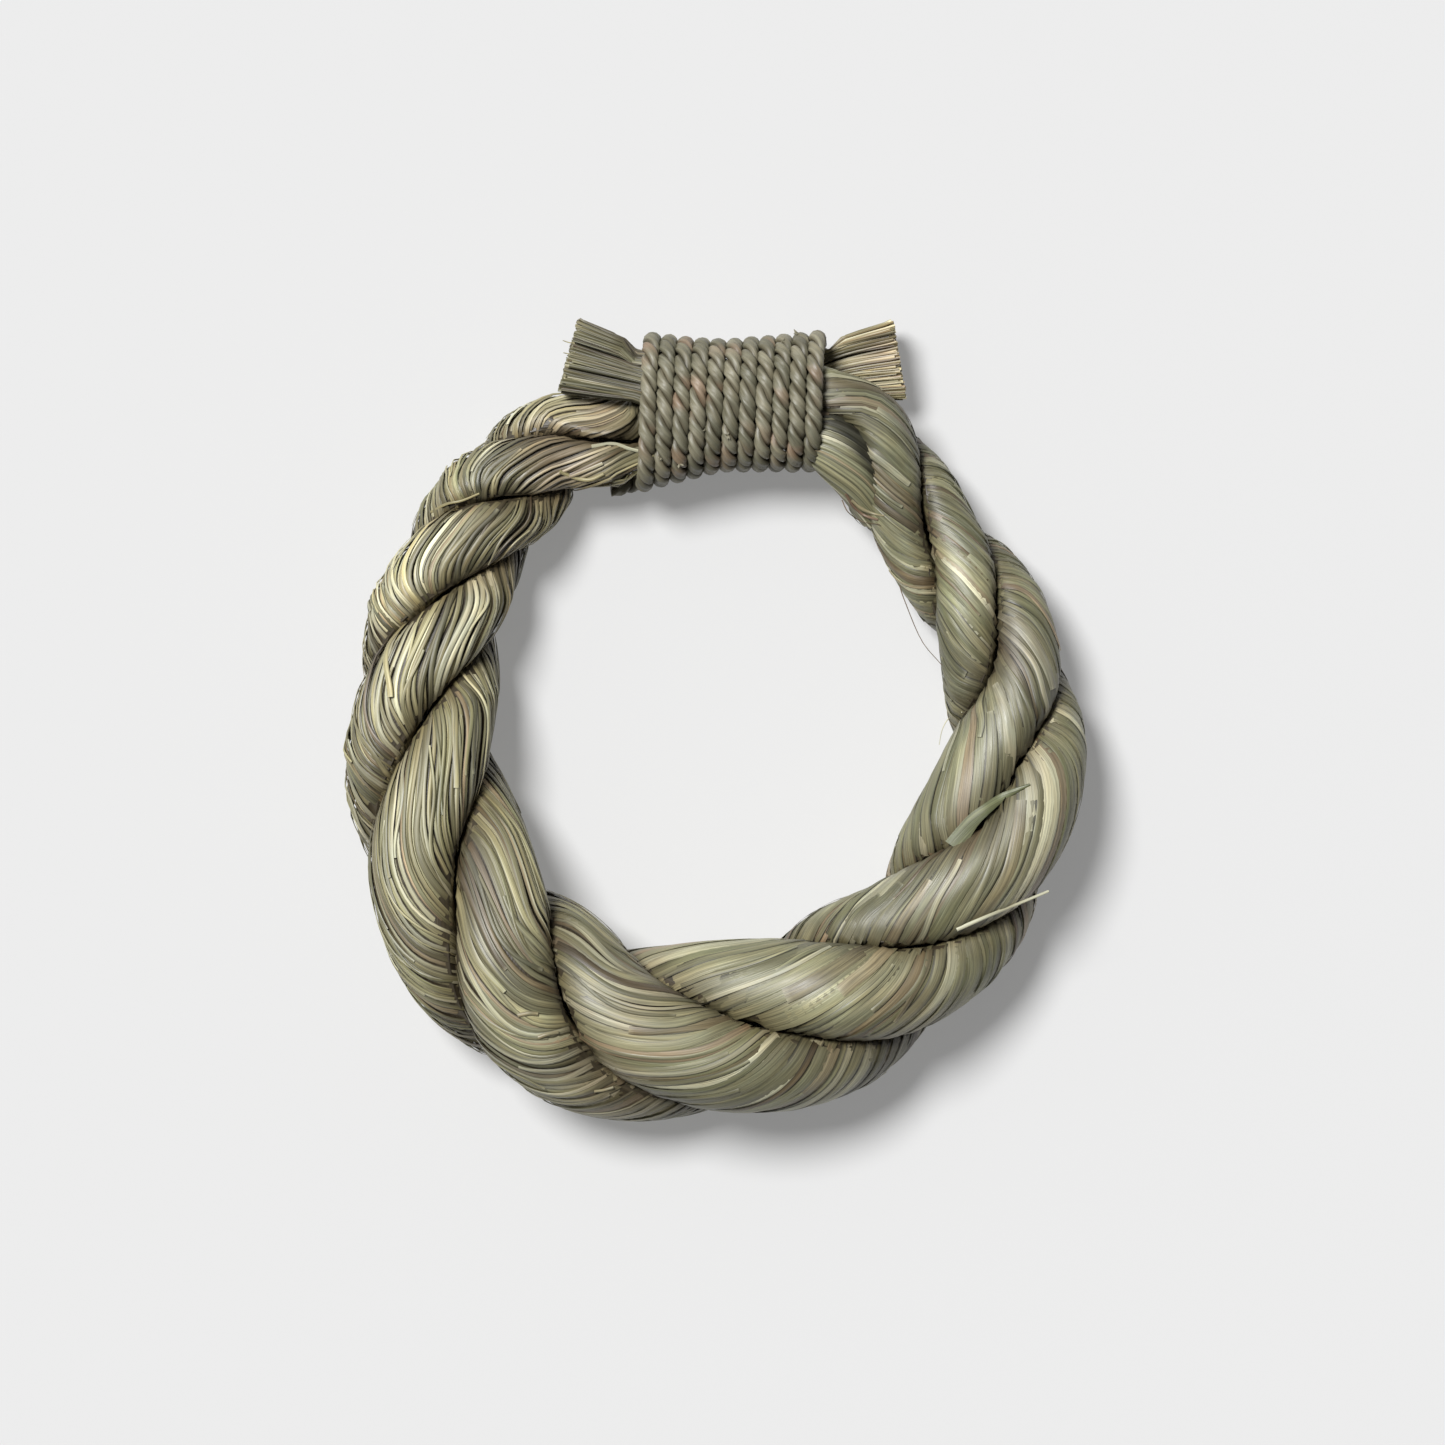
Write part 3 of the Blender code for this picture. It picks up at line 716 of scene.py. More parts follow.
# The section of a straw: how far apart the points are that give its directions, how much of its width
# it loses towards a cut end, its arch, tilt and thickness for wide and for narrow straws, and how far
# from the middle of the face it turns flat
NEAR_POINT = 0.1 * MM
MOST_TAPER = 0.55
WIDE_ARCH, NARROW_ARCH = (0.00, 0.02), (0.06, 0.16)
WIDE_EDGE, NARROW_EDGE = (0.05, 0.30), (0.12, 0.30)
TILT, TILT_CHANGE = 0.06, 0.10
FLAT_FROM, FLAT_LENGTH = 1.5, 60 * DEGREE


def straw_ribbons(rope, number, random, straws, widths):
    """Adds the straws' middle lines in space, and gives the points of the ribbons along them."""
    at, angle, height, share = straws.at, straws.angle, straws.height, straws.share
    centre = rope.surface(number, at, angle, height)
    further = rope.surface(number, at + NEAR_POINT, angle, height)
    beside = rope.surface(number, at, angle + NEAR_POINT / 0.015, height)
    outer = rope.surface(number, at, angle, height + NEAR_POINT) - centre
    normal = unit(np.cross(further - centre, beside - centre))
    normal = normal * np.sign((normal * outer).sum(axis=-1, keepdims=True) + 1e-9)
    tangent = unit(np.gradient(centre, axis=1))
    radius = rope.state[:, HALF_UP]
    local = np.interp(at, rope.at, radius)
    each = (straws.count, 1)
    width = between(random, straws.narrow, widths[0], widths[1]) * straws.own_width[:, None] * MM
    width = width * np.sqrt(local / np.interp(straws.seeds, rope.at, radius)[:, None])
    taper = random.uniform(0, MOST_TAPER, each)
    width = width * (1 - taper * straws.cut_end[:, None] * share**3)
    width = width * (1 - taper * straws.cut_start[:, None] * (1 - share) ** 3)
    arch = between(random, straws.narrow, WIDE_ARCH, NARROW_ARCH)
    flat_end = np.clip(FLAT_FROM - np.abs(angle) / FLAT_LENGTH, 0, 1)
    tilt = random.uniform(-1, 1, each) * (TILT + TILT_CHANGE * np.sin(share * 5 + straws.phase)) * flat_end
    edge = between(random, straws.narrow, WIDE_EDGE, NARROW_EDGE) * MM * flat_end
    straws.centre, straws.width = centre, width
    points = ribbon(centre, normal, tangent, width, local, arch * flat_end, edge, tilt)
    return lifted(points - PART_SHIFT) + PART_SHIFT


# The shades of straws: how much neighbours differ and how much brighter narrow ones are, how much a
# clump and a straw's two ends differ, where and how strongly a painted shade darkens them where they go
# under the next strand, in degrees from the middle of the face, and how pale their cut ends are
WIDE_CONTRAST, NARROW_CONTRAST = 0.15, 0.36
NARROW_LIGHT = 0.13
CLUMP_SHADE = 0.34
END_SHADE = 0.15
UNDER_START, UNDER_LENGTH, PAINTED_UNDER_SHADE = 42, 55, np.array([0.50, 0.56, 0.62])
CUT_LENGTH, CUT_PALENESS = 0.045, 0.3

# Painted shade at the edges of straws, for the shadow in the grooves between them: the share of wide
# ones that have a deep one, how deep theirs and the others' are, and how deep those of narrow straws
# are. Then how much a painted sheen changes the shade along a straw.
DEEP_SHARE, DEEP_EDGE, FAINT_EDGE, NARROW_GAP = 0.34, 0.92, 0.14, 0.60
SHINE, SHINE_COUNT = 0.24, 40
GRAIN_TURN = 0.02
GRAIN_SPREAD = 50


def straw_colours(rope, random, straws):
    """Colours and grain of the ribbons' points."""
    count, narrow, share, wound = straws.count, straws.narrow, straws.share, straws.wound
    yellow = np.interp(straws.seeds, rope.at, rope.look[:, YELLOW_SHARE])
    tint = straw_tints(random, yellow, WIDE_CONTRAST + NARROW_CONTRAST * narrow)
    tint = tint * (1 + CLUMP_SHADE * straws.clumps[:, 2:])
    tilted = random.uniform(-END_SHADE, END_SHADE, (count, 1, 1)) * (share[..., None] - 0.5)
    tint = tint[:, None, :] * (1 + tilted)
    # Painted shade, browner, where a straw goes under the next strand, by its angle from the middle of the
    # face.
    under = ramp(np.abs(straws.angle) / DEGREE, UNDER_START, UNDER_LENGTH)[..., None]
    tint = tint * (1 - under * PAINTED_UNDER_SHADE)
    pale = straws.cut_end[:, None] * (share > 1 - CUT_LENGTH)
    pale = (pale + straws.cut_start[:, None] * (share < CUT_LENGTH))[..., None]
    tint = tint * (1 - CUT_PALENESS * pale) + np.array(PALE) * CUT_PALENESS * pale
    seed = random.random((count, 1)) * GRAIN_SPREAD
    along = ((wound - wound[:, :1]) * GRAIN_TURN + seed)[..., None]
    across = straws.width[..., None] * ACROSS + seed[..., None]
    grain = np.stack(np.broadcast_arrays(along, across, seed[..., None]), axis=-1)
    # Painted shade on the two edges of each straw, for the shadow in the grooves between straws.
    gaps = np.where(random.random(count) < DEEP_SHARE, DEEP_EDGE, FAINT_EDGE)
    painted_groove_shade = 1 - (gaps * (1 - narrow) + NARROW_GAP * narrow)[:, None] * RIM
    # Painted sheen that brightens and darkens each straw along its length.
    places = (share * 4 + straws.phase * 5).ravel() % (SHINE_COUNT - 1)
    shine = smooth_table(np.arange(SHINE_COUNT), random.uniform(-1, 1, (SHINE_COUNT, 1)), places)
    tint = tint * (1 + SHINE * shine.reshape(count, STRAW_SAMPLES, 1))
    tint = patched(tint * (1 + NARROW_LIGHT * narrow)[:, None, None], straws.centre)
    return tint[:, :, None, :] * painted_groove_shade[:, None, :, None], grain


def straw_layer(rope, fibres, number, random, density, widths, heights, slack, cut_share):
    """One layer of straws wound round a strand."""
    straws = straw_runs(rope, number, random, density, cut_share)
    lay_straws(rope, number, random, straws, heights, slack)
    points = straw_ribbons(rope, number, random, straws, widths)
    fibres.add(points, *straw_colours(rope, random, straws))


CORE_SIDES = 28
CORE_SAMPLES = 420
CORE_END = 0.003
CORE_DEPTH = 1.3 * MM


def core(rope, fibres, number):
    """The darker body of a strand, painted shade that shows only in the gaps between its straws."""
    at = np.linspace(CORE_END, rope.length - CORE_END, CORE_SAMPLES)[:, None]
    angle = np.linspace(-math.pi, math.pi, CORE_SIDES, endpoint=False)[None, :]
    at, angle = np.broadcast_arrays(at, angle)
    points = rope.surface(number, at, angle, np.full(at.shape, -CORE_DEPTH))
    grain = np.stack([at, angle * 0.01, np.zeros(at.shape)], axis=-1)
    fibres.add(points[None, :, ::-1], np.array(SHADOW_CORE_COLOUR), grain[None], closed=True)


# The swelling's body and shades: depth of the body, which is painted shade for the gaps between its
# straws, how unevenly the straws turn, where a painted shade stands for the shadow of the strand beside
# it, how strongly, how bright it is at the mouth and how much less further on, and the depths of the
# painted shade at the edges of its straws
SWELL_BODY_DEPTH = 0.9 * MM
UNEVEN_TWIST = 0.14
SEAM_START, SEAM_LENGTH, PAINTED_SEAM_SHADE = 0.14, 0.34, 0.88
MOUTH_LIGHT, MOUTH_FALL = 1.20, 0.22
SWELL_GAPS = (0.15, 0.75)


def mouth_swelling(fibres, random):
    """Straws round the strand beside the right mouth, where it is thicker than the rest of it."""
    share = np.linspace(0, 1, SWELL_SAMPLES)
    rows = [(*from_pixel(*row[:2]), *(np.array(row[2:]) * MM)) for row in MOUTH_SWELL]
    table = smooth_table(np.linspace(0, 1, len(rows)), rows, share)
    line, wide, deep = table[:, :3], table[:, 3], table[:, 4]
    tangent = unit(np.gradient(line, axis=0))
    side = unit(np.cross((0, 0, 1), tangent))
    up = np.cross(tangent, side)

    def over(angle, height):
        across = (np.sin(angle) * (wide + height))[..., None] * side
        return line + across + (np.cos(angle) * (deep + height))[..., None] * up

    turns = np.linspace(0, 2 * math.pi, SWELL_SIDES, endpoint=False)
    # A near-black body under the straws, painted as the shade in their gaps.
    body = np.stack([over(np.full(len(share), turn), -SWELL_BODY_DEPTH) for turn in turns], axis=1)
    fibres.add(body[None], np.array(SHADOW_CORE_COLOUR), body[None], closed=True)
    for count, widths, heights in SWELL_LAYERS:
        each = (count, 1)
        start = (np.arange(count) + random.uniform(-UNEVEN_STEP, UNEVEN_STEP, count))[:, None]
        start = start / count * 2 * math.pi
        angle = start + SWELL_TWIST * share + random.uniform(-UNEVEN_TWIST, UNEVEN_TWIST, each) * share
        centre = over(angle, random.uniform(*heights, each) * MM)
        normal = unit((np.sin(angle) / wide)[..., None] * side + (np.cos(angle) / deep)[..., None] * up)
        width = random.uniform(*widths, each) * MM * np.sqrt(wide / wide.max())
        edge = random.uniform(*WIDE_EDGE, each) * MM * np.ones(len(share))
        tilt = random.uniform(-TILT, TILT, each) * np.ones(len(share))
        radius = np.broadcast_to((wide + deep) / 2, width.shape)
        flat = np.zeros(width.shape)
        points = ribbon(centre, normal, unit(np.gradient(centre, axis=1)), width, radius, flat, edge, tilt)
        # Painted shade on the swelling's upper half, on the side next to the strand beside it, where that
        # strand's shadow falls.
        seam_shadow_mask = ramp(np.sin(angle), SEAM_START, SEAM_LENGTH) * (np.cos(angle) > 0)
        shade = (MOUTH_LIGHT - MOUTH_FALL * share) * (1 - PAINTED_SEAM_SHADE * seam_shadow_mask)
        tint = straw_tints(random, np.full(count, SWELL_YELLOW), SWELL_CONTRAST)[:, None, None, :]
        tint = tint * shade[..., None, None]
        # Painted shade on the two edges of each straw, for the grooves between them.
        painted_groove_shade = 1 - random.choice(SWELL_GAPS, each) * RIM
        seed = random.random((count, 1, 1)) * GRAIN_SPREAD
        grain = np.stack(np.broadcast_arrays(
            share[:, None] * 0.05 + seed, width[..., None] * ACROSS + seed, seed), axis=-1)
        fibres.add(points, tint * painted_groove_shade[:, None, :, None], grain)


# The tufts: which end, share of yellow straws, brightness, and how much darker the upper straws are
TUFTS = ((0, 0.75, 0.80, 0.0), (1, 0.10, 0.56, 1.0))
TUFT_STRAWS = 170
TUFT_LENGTH = 0.036
TUFT_SAMPLES = 9
TUFT_SIDES = 6
TUFT_ENDS = (-2.6, 1.0)
TUFT_WIDTHS = (0.5, 1.3)
TUFT_FLATNESS = 0.56
TUFT_CONTRAST = 0.4
TUFT_WARMTH = np.array([1.0, 0.94, 0.86])
UPPER_SHADE = np.array([0.35, 0.42, 0.45])
OUTER_SHARE = 0.65
TUFT_EDGE = 0.98
MOST_OUT = 1.02
CROSSING = 0.22
TUFT_ROLL = 60
END_LIGHT = 0.35


def tuft(rope, fibres, number, random, tip, yellow, brightness, upper_shade):
    """The cut ends of a strand's straws. tip is 0 at the rope's start and 1 at its end."""
    each = (TUFT_STRAWS, 1)
    share = np.linspace(0, 1, TUFT_SAMPLES)[None, :]
    reach = TUFT_LENGTH + random.uniform(*TUFT_ENDS, each) * MM
    along = share * reach
    at = TUFT_LENGTH - along if tip == 0 else rope.length - TUFT_LENGTH + along
    past = np.minimum(at, 0) + np.maximum(at - rope.length, 0)
    at = np.clip(at, 0, rope.length)
    place = random.uniform(-1, 1, (TUFT_STRAWS, 2))
    bulge = (np.abs(place) ** TUFT_SQUARENESS).sum(axis=1) ** (1 / TUFT_SQUARENESS)
    place = place / np.maximum(bulge, 1)[:, None]
    outer = random.random(TUFT_STRAWS) < OUTER_SHARE
    grown = np.where(outer, np.maximum(bulge, 0.35) ** -0.8, 1)[:, None]
    place = np.clip(place * grown, -TUFT_EDGE, TUFT_EDGE)
    crossing = random.uniform(-CROSSING, CROSSING, (TUFT_STRAWS, 2))
    spread = 1 + random.uniform(-0.10, 0.06, each) * share
    shares = [
        np.clip(place[:, axis:axis + 1] + crossing[:, axis:axis + 1] * (share - 0.4), -MOST_OUT, MOST_OUT)
        for axis in (0, 1)
    ]
    across, up = [
        rope.value(rope.places[number][:, axis], at)
        + shares[axis] * (rope.value(rope.state[:, half], at) - 0.3 * MM) * spread
        for axis, half in enumerate((HALF_ACROSS, HALF_UP))
    ]
    centre = rope.settle(at, across, up)
    centre[..., 0] += past
    tangent = unit(np.gradient(centre, axis=1))
    roll = random.uniform(-TUFT_ROLL, TUFT_ROLL, each) * DEGREE
    flat = np.stack(np.broadcast_arrays(np.zeros(roll.shape), np.cos(roll), np.sin(roll)), axis=-1)
    flat = unit(flat - tangent * (flat * tangent).sum(axis=-1, keepdims=True))
    thin = np.cross(tangent, flat)
    width = random.uniform(*TUFT_WIDTHS, (TUFT_STRAWS, 1, 1)) * MM
    turns = np.linspace(0, 2 * math.pi, TUFT_SIDES, endpoint=False)
    ring = np.cos(turns) * width * 0.5
    rise = np.sin(turns) * width * 0.5 * TUFT_FLATNESS
    points = centre[..., None, :] + flat[..., None, :] * ring[..., None]
    points = points + thin[..., None, :] * rise[..., None]
    tint = straw_tints(random, np.full(TUFT_STRAWS, yellow), TUFT_CONTRAST)
    upper = (-place[:, 0] if tip == 0 else place[:, 0]).clip(0, 1)[:, None]
    tint = tint * (1 - upper * upper * UPPER_SHADE * upper_shade) * TUFT_WARMTH
    tint = tint[:, None, :] * (brightness + END_LIGHT * share[..., None] ** 8)
    tint = (patched(tint, centre) if tip == 0 else tint)[:, :, None, :]
    seed = random.random((TUFT_STRAWS, 1, 1)) * GRAIN_SPREAD
    grain = np.stack(np.broadcast_arrays(along[..., None] + seed, ring + seed, seed), axis=-1)
    fibres.add(points[:, :, ::-1], tint, grain, closed=True)


# Loose straws and hairs: pixels of the photograph, height over what lies below in millimetres,
# width at both ends in millimetres and colour.
LOOSE_STRAWS = (
    (((955, 928), (985, 915), (1016, 903), (1047, 890)), (0.3, 1.0, 1.5, 2.0), (1.5, 0.9), PALE),
    (((952, 846), (962, 832), (972, 819), (985, 808), (1000, 797), (1014, 790), (1028, 784)),
     (-0.8, 3.4, 3.2, 3.0, 2.9, 1.3, 0.3), (7.0, 0.9), LEAF),
    (((592, 447), (613, 444), (630, 449), (643, 452)), (0.3, 1.1, 1.0, 0.5), (1.4, 1.2), PALE),
    (((430, 512), (447, 504), (462, 501), (480, 494)), (0.2, 0.9, 0.9, 0.2), (1.1, 0.7), YELLOW),
    (((842, 500), (848, 512), (862, 521), (880, 525)), (0.2, 0.6, 0.9, 1.2), (0.4, 0.25), BROWN),
    (((846, 494), (853, 506), (864, 515), (878, 520)), (0.0, 0.3, 0.4, 0.2), (1.3, 0.9), OLD_STRAW),
    (((852, 500), (862, 509), (874, 514), (884, 516)), (0.2, 0.5, 0.4, 0.1), (1.4, 0.6), STUB),
    (((900, 585), (905, 600), (922, 640), (942, 665)), (0.2, 0.6, 0.4, 0.2), (0.4, 0.25), BROWN),
    (((962, 712), (950, 718), (943, 730), (940, 745)), (0.2, 0.4, 0.3, 0.2), (0.45, 0.25), PALE),
    (((575, 344), (569, 343), (563, 341)), (0.2, 0.2, 0.2), (0.5, 0.3), YELLOW),
    (((575, 353), (569, 353), (563, 352)), (0.2, 0.2, 0.2), (0.5, 0.3), YELLOW),
    (((560, 472), (575, 478), (590, 480), (604, 474)), (0.2, 0.5, 0.6, 0.4), (1.4, 1.2), YELLOW),
    (((595, 1089), (604, 1088), (614, 1085)), (0.1, 0.6, 0.9), (1.1, 0.9), STUB),
    (((520, 1012), (531, 1010), (540, 1011)), (0.1, 0.4, 0.5), (1.7, 1.4), STUB),
    (((540, 1034), (549, 1031), (560, 1029)), (0.1, 0.4, 0.5), (1.5, 1.2), STUB),
)
CORD_NUBS = ((706, 431), (728, 437), (680, 465), (783, 343), (798, 334), (661, 462))


TUBE_SAMPLES = 14
TUBE_SIDES = 8
TUBE_FLATNESS = 0.35
TUBE_DEPTH = 0.4 * MM
OFF_FLOOR = 0.1 * MM


def thin_straw(fibres, points, widths, tint, seed):
    """One thin straw along the points, with the widths of its two ends."""
    at = np.linspace(0, 1, TUBE_SAMPLES)
    line = smooth_table(np.linspace(0, 1, len(points)), points, at)
    wide = np.interp(at, (0, 1), widths)[:, None] * MM
    tangent = unit(np.gradient(line, axis=0))
    level = unit(np.cross((0, 0, 1), tangent))
    rise = np.cross(tangent, level)
    turns = np.linspace(0, 2 * math.pi, TUBE_SIDES, endpoint=False)
    thick = np.minimum(wide * TUBE_FLATNESS, TUBE_DEPTH)
    points = line[:, None] + level[:, None] * (np.cos(turns) * wide / 2)[..., None]
    points = points + rise[:, None] * (np.sin(turns) * thick)[..., None]
    points[..., 2] = np.maximum(points[..., 2], OFF_FLOOR)
    grain = np.stack(np.broadcast_arrays(at[:, None] * 0.03 + seed, turns * wide * 0.5, seed), axis=-1)
    fibres.add(points[None], np.array(tint), grain[None], closed=True)


ABOVE_ALL = 0.2
USUAL_HEIGHT = 0.03


def surface_under(tree, x, y):
    """Height of what lies under a place, or nothing where only the floor does."""
    hit = tree.ray_cast(Vector((x, y, ABOVE_ALL)), Vector((0, 0, -1)))
    return hit[0][2] if hit[0] is not None else None


def from_pixel(x, y):
    """Where a pixel of the photograph lies, seen from straight above."""
    return (x - MIDDLE_PIXEL[0]) * PIXEL + PART_SHIFT[0], (MIDDLE_PIXEL[1] - y) * PIXEL + PART_SHIFT[1]


def loose_straws(bundles):
    """Adds each loose straw to the strand under its root."""
    trees = [BVHTree.FromPolygons(np.concatenate(bundle.points).tolist(), bundle.faces) for bundle in bundles]
    for index, (pixels, lifts, widths, tint) in enumerate(LOOSE_STRAWS):
        points = []
        owner = 0
        height = USUAL_HEIGHT
        for (px, py), lift in zip(pixels, lifts, strict=True):
            x, y = from_pixel(px, py)
            under = [surface_under(tree, x, y) for tree in trees]
            found = [(value, number) for number, value in enumerate(under) if value is not None]
            if found:
                height, above = max(found)
                if not points:
                    owner = above
            points.append((x, y, height + lift * MM))
        thin_straw(bundles[owner], np.array(points), widths, tint, index)


# The fibres of a nub: how many, how far they reach and rise in millimetres, and the widths of their ends
NUB_FIBRES = 4
NUB_REACH = 1.7
NUB_ROOT, NUB_MIDDLE, NUB_TIPS = -0.4, 0.5, (0.4, 1.0)
NUB_WIDTHS = (0.8, 0.35)


def cord_nubs(fibres, random):
    """Frayed ends that stand out of the cord."""
    tree = BVHTree.FromPolygons(np.concatenate(fibres.points).tolist(), fibres.faces)
    for index, pixel in enumerate(CORD_NUBS):
        x, y = from_pixel(*pixel)
        height = surface_under(tree, x, y)
        for _ in range(NUB_FIBRES):
            away = random.uniform(-1, 1, 2) * NUB_REACH * MM
            root = (x, y, height + NUB_ROOT * MM)
            middle = (x + away[0] * 0.5, y + away[1] * 0.5, height + NUB_MIDDLE * MM)
            end = (x + away[0], y + away[1], height + random.uniform(*NUB_TIPS) * MM)
            thin_straw(fibres, np.array([root, middle, end]), NUB_WIDTHS, CORD_PALE, index)


def cord_loop(x, angle):
    """Points of the cord's line round the bundle."""
    radius = CORD_FIT + CORD_DIAMETER / 2
    middle, half_height = bundle_at(x)
    power = 2 / BUNDLE_SQUARENESS
    across = np.sign(np.cos(angle)) * np.abs(np.cos(angle)) ** power * (half_height + radius)
    up = np.sign(np.sin(angle)) * np.abs(np.sin(angle)) ** power * (CORE_HALF_DEPTH + radius)
    return np.stack([x, middle + across, BINDING_Z + up], axis=-1)


CORD_SAMPLES = 2400
CORD_STEP = 1.15 * MM
TAIL_SAMPLES = 40
TAIL_STOP = 3.9


def cord_line():
    """The cord's line at even steps: its tail beside the left mouth, then the turns."""
    places = np.linspace(FIRST_TURN, CORD_TURNS, CORD_SAMPLES)
    start = BINDING_X - BINDING_HALF
    turns = cord_loop(start + places * TURN_PITCH, -math.pi / 2 - 2 * math.pi * places)
    knots = np.vstack([turns[0] + np.array(TAIL) * CORD_DIAMETER, turns[:1]])
    tail = smooth_table(np.arange(len(knots)), knots, np.linspace(0, TAIL_STOP, TAIL_SAMPLES))
    line = np.concatenate([tail, turns])
    lengths = np.concatenate([[0], np.cumsum(np.linalg.norm(np.diff(line, axis=0), axis=1))])
    at = np.arange(0, lengths[-1], CORD_STEP)
    return at, np.stack([np.interp(at, lengths, line[:, axis]) for axis in range(3)], axis=-1)


# The plies of the cord. Their offset and half sizes are shares of the cord's diameter.
CORD_TWIST_LENGTH = 0.0152
PLY_SIDES = 16
PLY_OFFSET = 0.245
PLY_HALF_DEPTH = 0.285
PLY_HALF_WIDTH = 0.435
PLY_SQUARENESS = 2.5
PLY_WOBBLE = 0.35
PLY_SWELLING = 0.05
RIBS, RIB_DEPTH, RIB_TURN = 6, 0.03, 900
CHANGES = 400
WOBBLE_LENGTH = 6 * MM
TONE_LENGTH = 8 * MM
# How dark the painted shade is on the side of a ply that faces the other ply
PAINTED_JOINT_SHADE = np.array([0.55, 0.6, 0.65])


def binding(fibres, random):
    """Two plies of straw twisted into the cord."""
    at, line = cord_line()
    tangent = unit(np.gradient(line, axis=0))
    middle, _ = bundle_at(line[:, 0])
    outward = line - np.stack([line[:, 0], middle, np.full(len(line), BINDING_Z)], axis=-1)
    outward = unit(outward - tangent * (outward * tangent).sum(axis=1, keepdims=True))
    sideways = np.cross(tangent, outward)
    wobble, tone = [
        smooth_table(np.arange(CHANGES), random.uniform(-1, 1, (CHANGES, 4)), at / length)
        for length in (WOBBLE_LENGTH, TONE_LENGTH)
    ]
    turns = np.linspace(0, 2 * math.pi, PLY_SIDES, endpoint=False)
    power = 2 / PLY_SQUARENESS
    # Painted shade where the two plies meet, on the side of each that faces the other.
    painted_joint_mask = np.clip(-np.cos(turns) * 0.9 + 0.15, 0, 1)[None, :, None]
    for ply in range(2):
        twist = -2 * math.pi * at / CORD_TWIST_LENGTH + math.pi * ply + PLY_WOBBLE * wobble[:, 0]
        axis = np.cos(twist)[:, None] * outward + np.sin(twist)[:, None] * sideways
        beside = -np.sin(twist)[:, None] * outward + np.cos(twist)[:, None] * sideways
        size = CORD_DIAMETER * (1 + PLY_SWELLING * wobble[:, 1 + ply])[:, None]
        ribs = 1 + RIB_DEPTH * np.sin(RIBS * turns + at[:, None] * RIB_TURN + 3 * ply)
        deep = PLY_OFFSET + np.sign(np.cos(turns)) * np.abs(np.cos(turns)) ** power * PLY_HALF_DEPTH * ribs
        wide = np.sign(np.sin(turns)) * np.abs(np.sin(turns)) ** power * PLY_HALF_WIDTH * ribs
        points = line[:, None] + (deep * size)[..., None] * axis[:, None]
        points = points + (wide * size)[..., None] * beside[:, None]
        points = lifted(points) + PART_SHIFT
        share = (0.5 + 0.6 * tone[:, ply]).clip(0, 1)[:, None, None]
        blush = (tone[:, 2 + ply] * 1.6 - 0.9).clip(0, 0.7)[:, None, None]
        tint = np.array(CORD_GREEN) * (1 - share) + np.array(CORD_PALE) * share
        tint = tint * (1 - blush) + np.array(PINK) * blush
        tint = tint * (1 - painted_joint_mask * PAINTED_JOINT_SHADE)
        across = turns * CORD_DIAMETER * 0.38 - at[:, None] * 0.30
        grain = np.stack(np.broadcast_arrays(at[:, None] + ply * 7, across, ply * 3.0), axis=-1)
        fibres.add(points[None], tint[None], grain[None], closed=True)


STRAND_SEED = 20


def dressed_strand(rope, number):
    """A strand's body, its straws and its tufts."""
    random = np.random.default_rng(STRAND_SEED + number)
    fibres = Fibres()
    core(rope, fibres, number)
    for layer in STRAW_LAYERS:
        straw_layer(rope, fibres, number, random, *layer)
    for end in TUFTS:
        tuft(rope, fibres, number, random, *end)
    if number == FULL_STRAND:
        mouth_swelling(fibres, random)
    return fibres


CORD_SEED = 40

# Roughness, streaks and relief
STRAW_LOOK = (0.47, 0.42, 0.7)
CORD_LOOK = (0.50, 0.22, 0.6)


def main():
    rope = Rope()
    straw = straw_material("straw", *STRAW_LOOK)
    twisted = straw_material("cord_straw", *CORD_LOOK)
    bundles = [dressed_strand(rope, number) for number in range(STRAND_COUNT)]
    loose_straws(bundles)
    for number, fibres in enumerate(bundles, start=1):
        strand = fibres.piece(f"straws_{number}")
        strand.data.materials.append(straw)
        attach(strand, "root")
        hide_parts(f"strand_{number}")
    fibres = Fibres()
    random = np.random.default_rng(CORD_SEED)
    binding(fibres, random)
    cord_nubs(fibres, random)
    cord = fibres.piece("twisted_cord")
    cord.data.materials.append(twisted)
    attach(cord, "root")
    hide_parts("binding_cord")


# The floor's half side, shade and own glow. The world's level and how much it changes sideways. The
# sun's strength, width in degrees and direction.
FLOOR_SIDE = 6.0
FLOOR_SHADE = 0.46
FLOOR_GLOW = 0.22
WORLD_LEVEL = 0.13
WORLD_CHANGE = (-0.09, 0.09, 0)
SUN_STRENGTH = 4.4
SUN_WIDTH = 20
SUN_FROM = (-0.35, 0.33, 0.88)


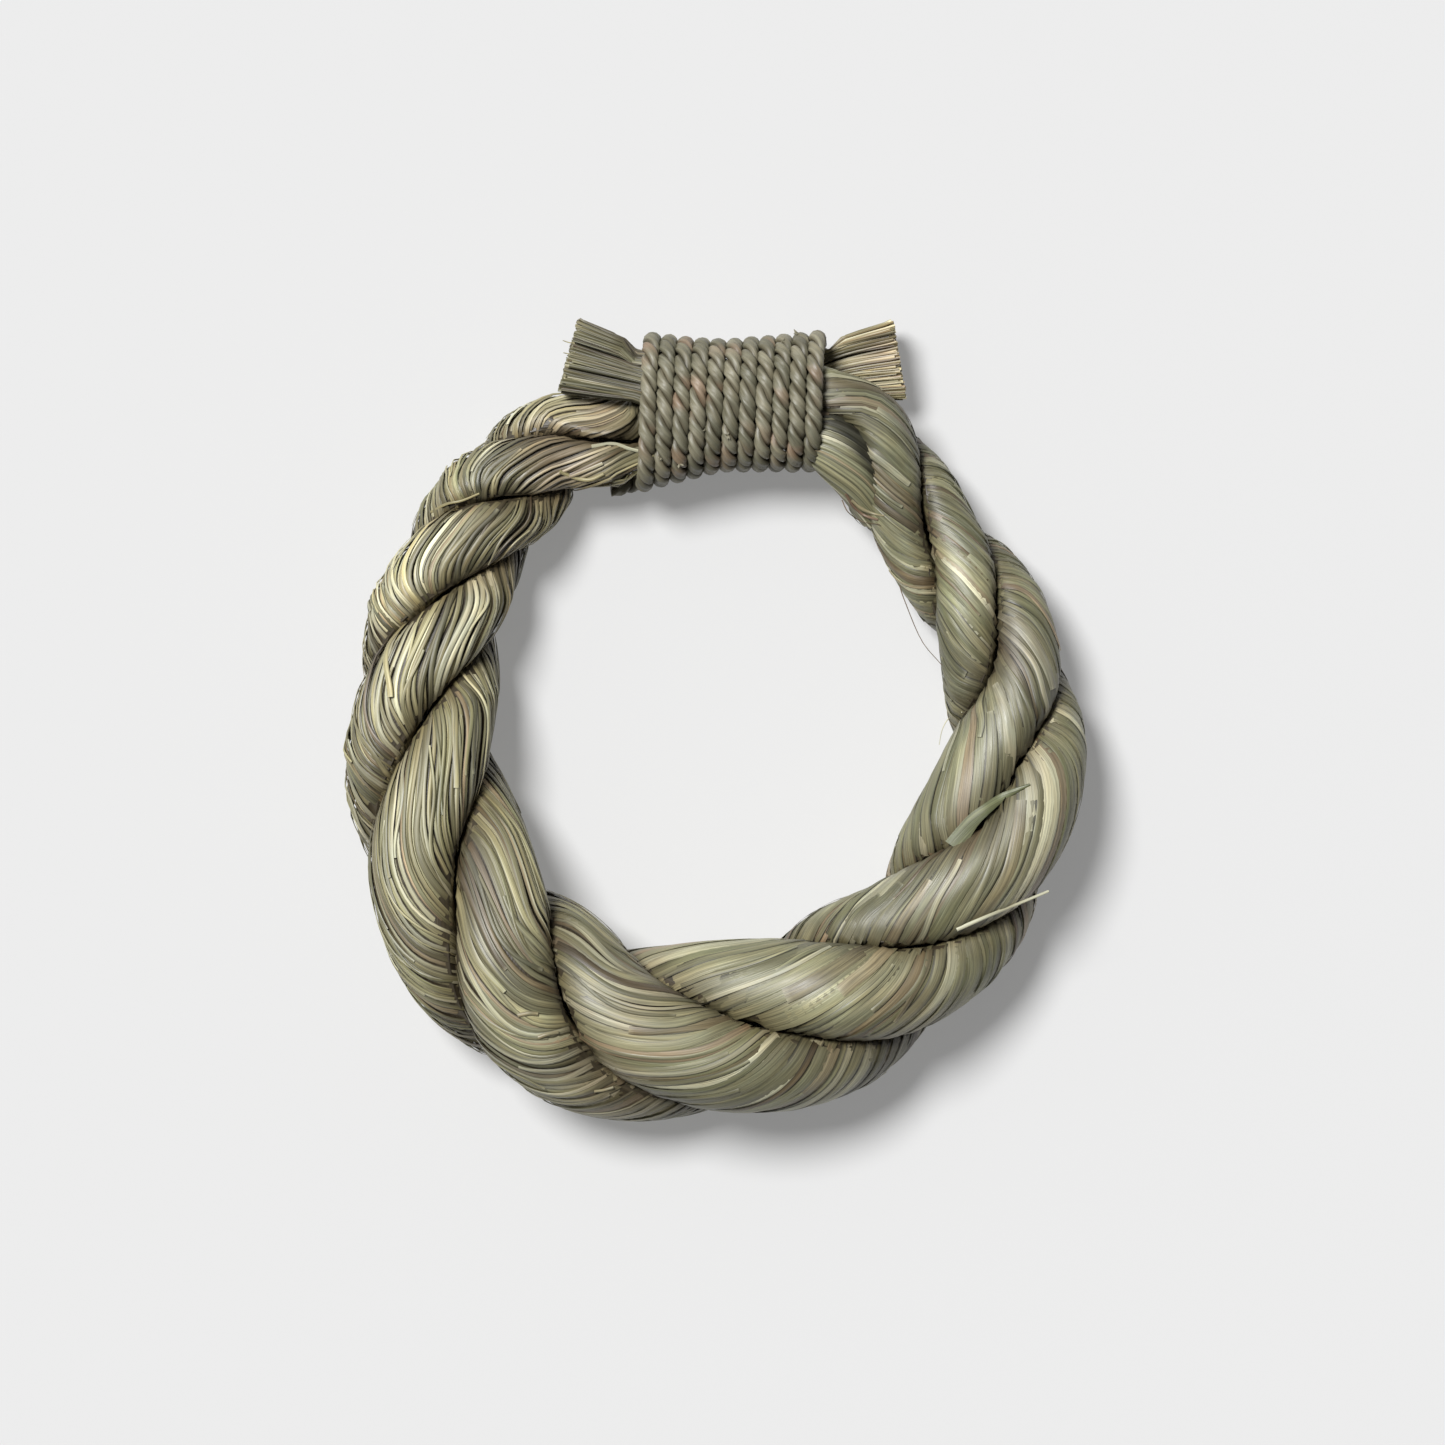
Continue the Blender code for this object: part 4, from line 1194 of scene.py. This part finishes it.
def floor():
    mesh = bpy.data.meshes.new("floor")
    side = FLOOR_SIDE
    corners = [(-side, -side, 0), (side, -side, 0), (side, side, 0), (-side, side, 0)]
    mesh.from_pydata(corners, [], [(0, 1, 2, 3)])
    made = placed("floor", mesh)
    paint = bpy.data.materials.new("floor")
    paint.use_nodes = True
    shader = paint.node_tree.nodes["Principled BSDF"]
    set_inputs(shader, {
        "Base Color": (FLOOR_SHADE, FLOOR_SHADE, FLOOR_SHADE, 1),
        "Emission Color": (1, 1, 1, 1),
        "Emission Strength": FLOOR_GLOW,
        "Roughness": 1.0,
        "Specular IOR Level": 0.0,
    })
    mesh.materials.append(paint)


def light():
    world = bpy.data.worlds.new("studio")
    bpy.context.scene.world = world
    world.use_nodes = True
    nodes, links = world.node_tree.nodes, world.node_tree.links
    direction = shader_node(nodes, "TexCoord")
    facing = shader_node(nodes, "VectorMath", {1: WORLD_CHANGE}, operation="DOT_PRODUCT")
    links.new(direction.outputs["Generated"], facing.inputs[0])
    level = shader_node(nodes, "Math", {1: WORLD_LEVEL}, operation="ADD")
    nodes["Background"].inputs["Color"].default_value = (1, 1, 1, 1)
    links.new(facing.outputs["Value"], level.inputs[0])
    links.new(level.outputs["Value"], nodes["Background"].inputs["Strength"])
    sun = bpy.data.lights.new("key", "SUN")
    sun.energy = SUN_STRENGTH
    sun.angle = math.radians(SUN_WIDTH)
    placed("key", sun).rotation_euler = Vector(SUN_FROM).to_track_quat("Z", "Y").to_euler()
    bpy.context.scene.view_settings.view_transform = "Standard"


CAMERA_DISTANCE = 3.0
FOCUS_HEIGHT = 0.03
SENSOR_WIDTH = 36
CLIP_END = 20


def camera():
    """A camera straight above, framed as the photograph is."""
    lens = bpy.data.cameras.new("camera")
    lens.sensor_width = SENSOR_WIDTH
    lens.lens = SENSOR_WIDTH * CAMERA_DISTANCE / (PHOTO_SIDE * PIXEL)
    lens.clip_end = CLIP_END
    eye = placed("camera", lens)
    eye.location = (*from_pixel(PHOTO_SIDE / 2, PHOTO_SIDE / 2), CAMERA_DISTANCE + FOCUS_HEIGHT)
    bpy.context.scene.camera = eye


main()
floor()
light()
camera()
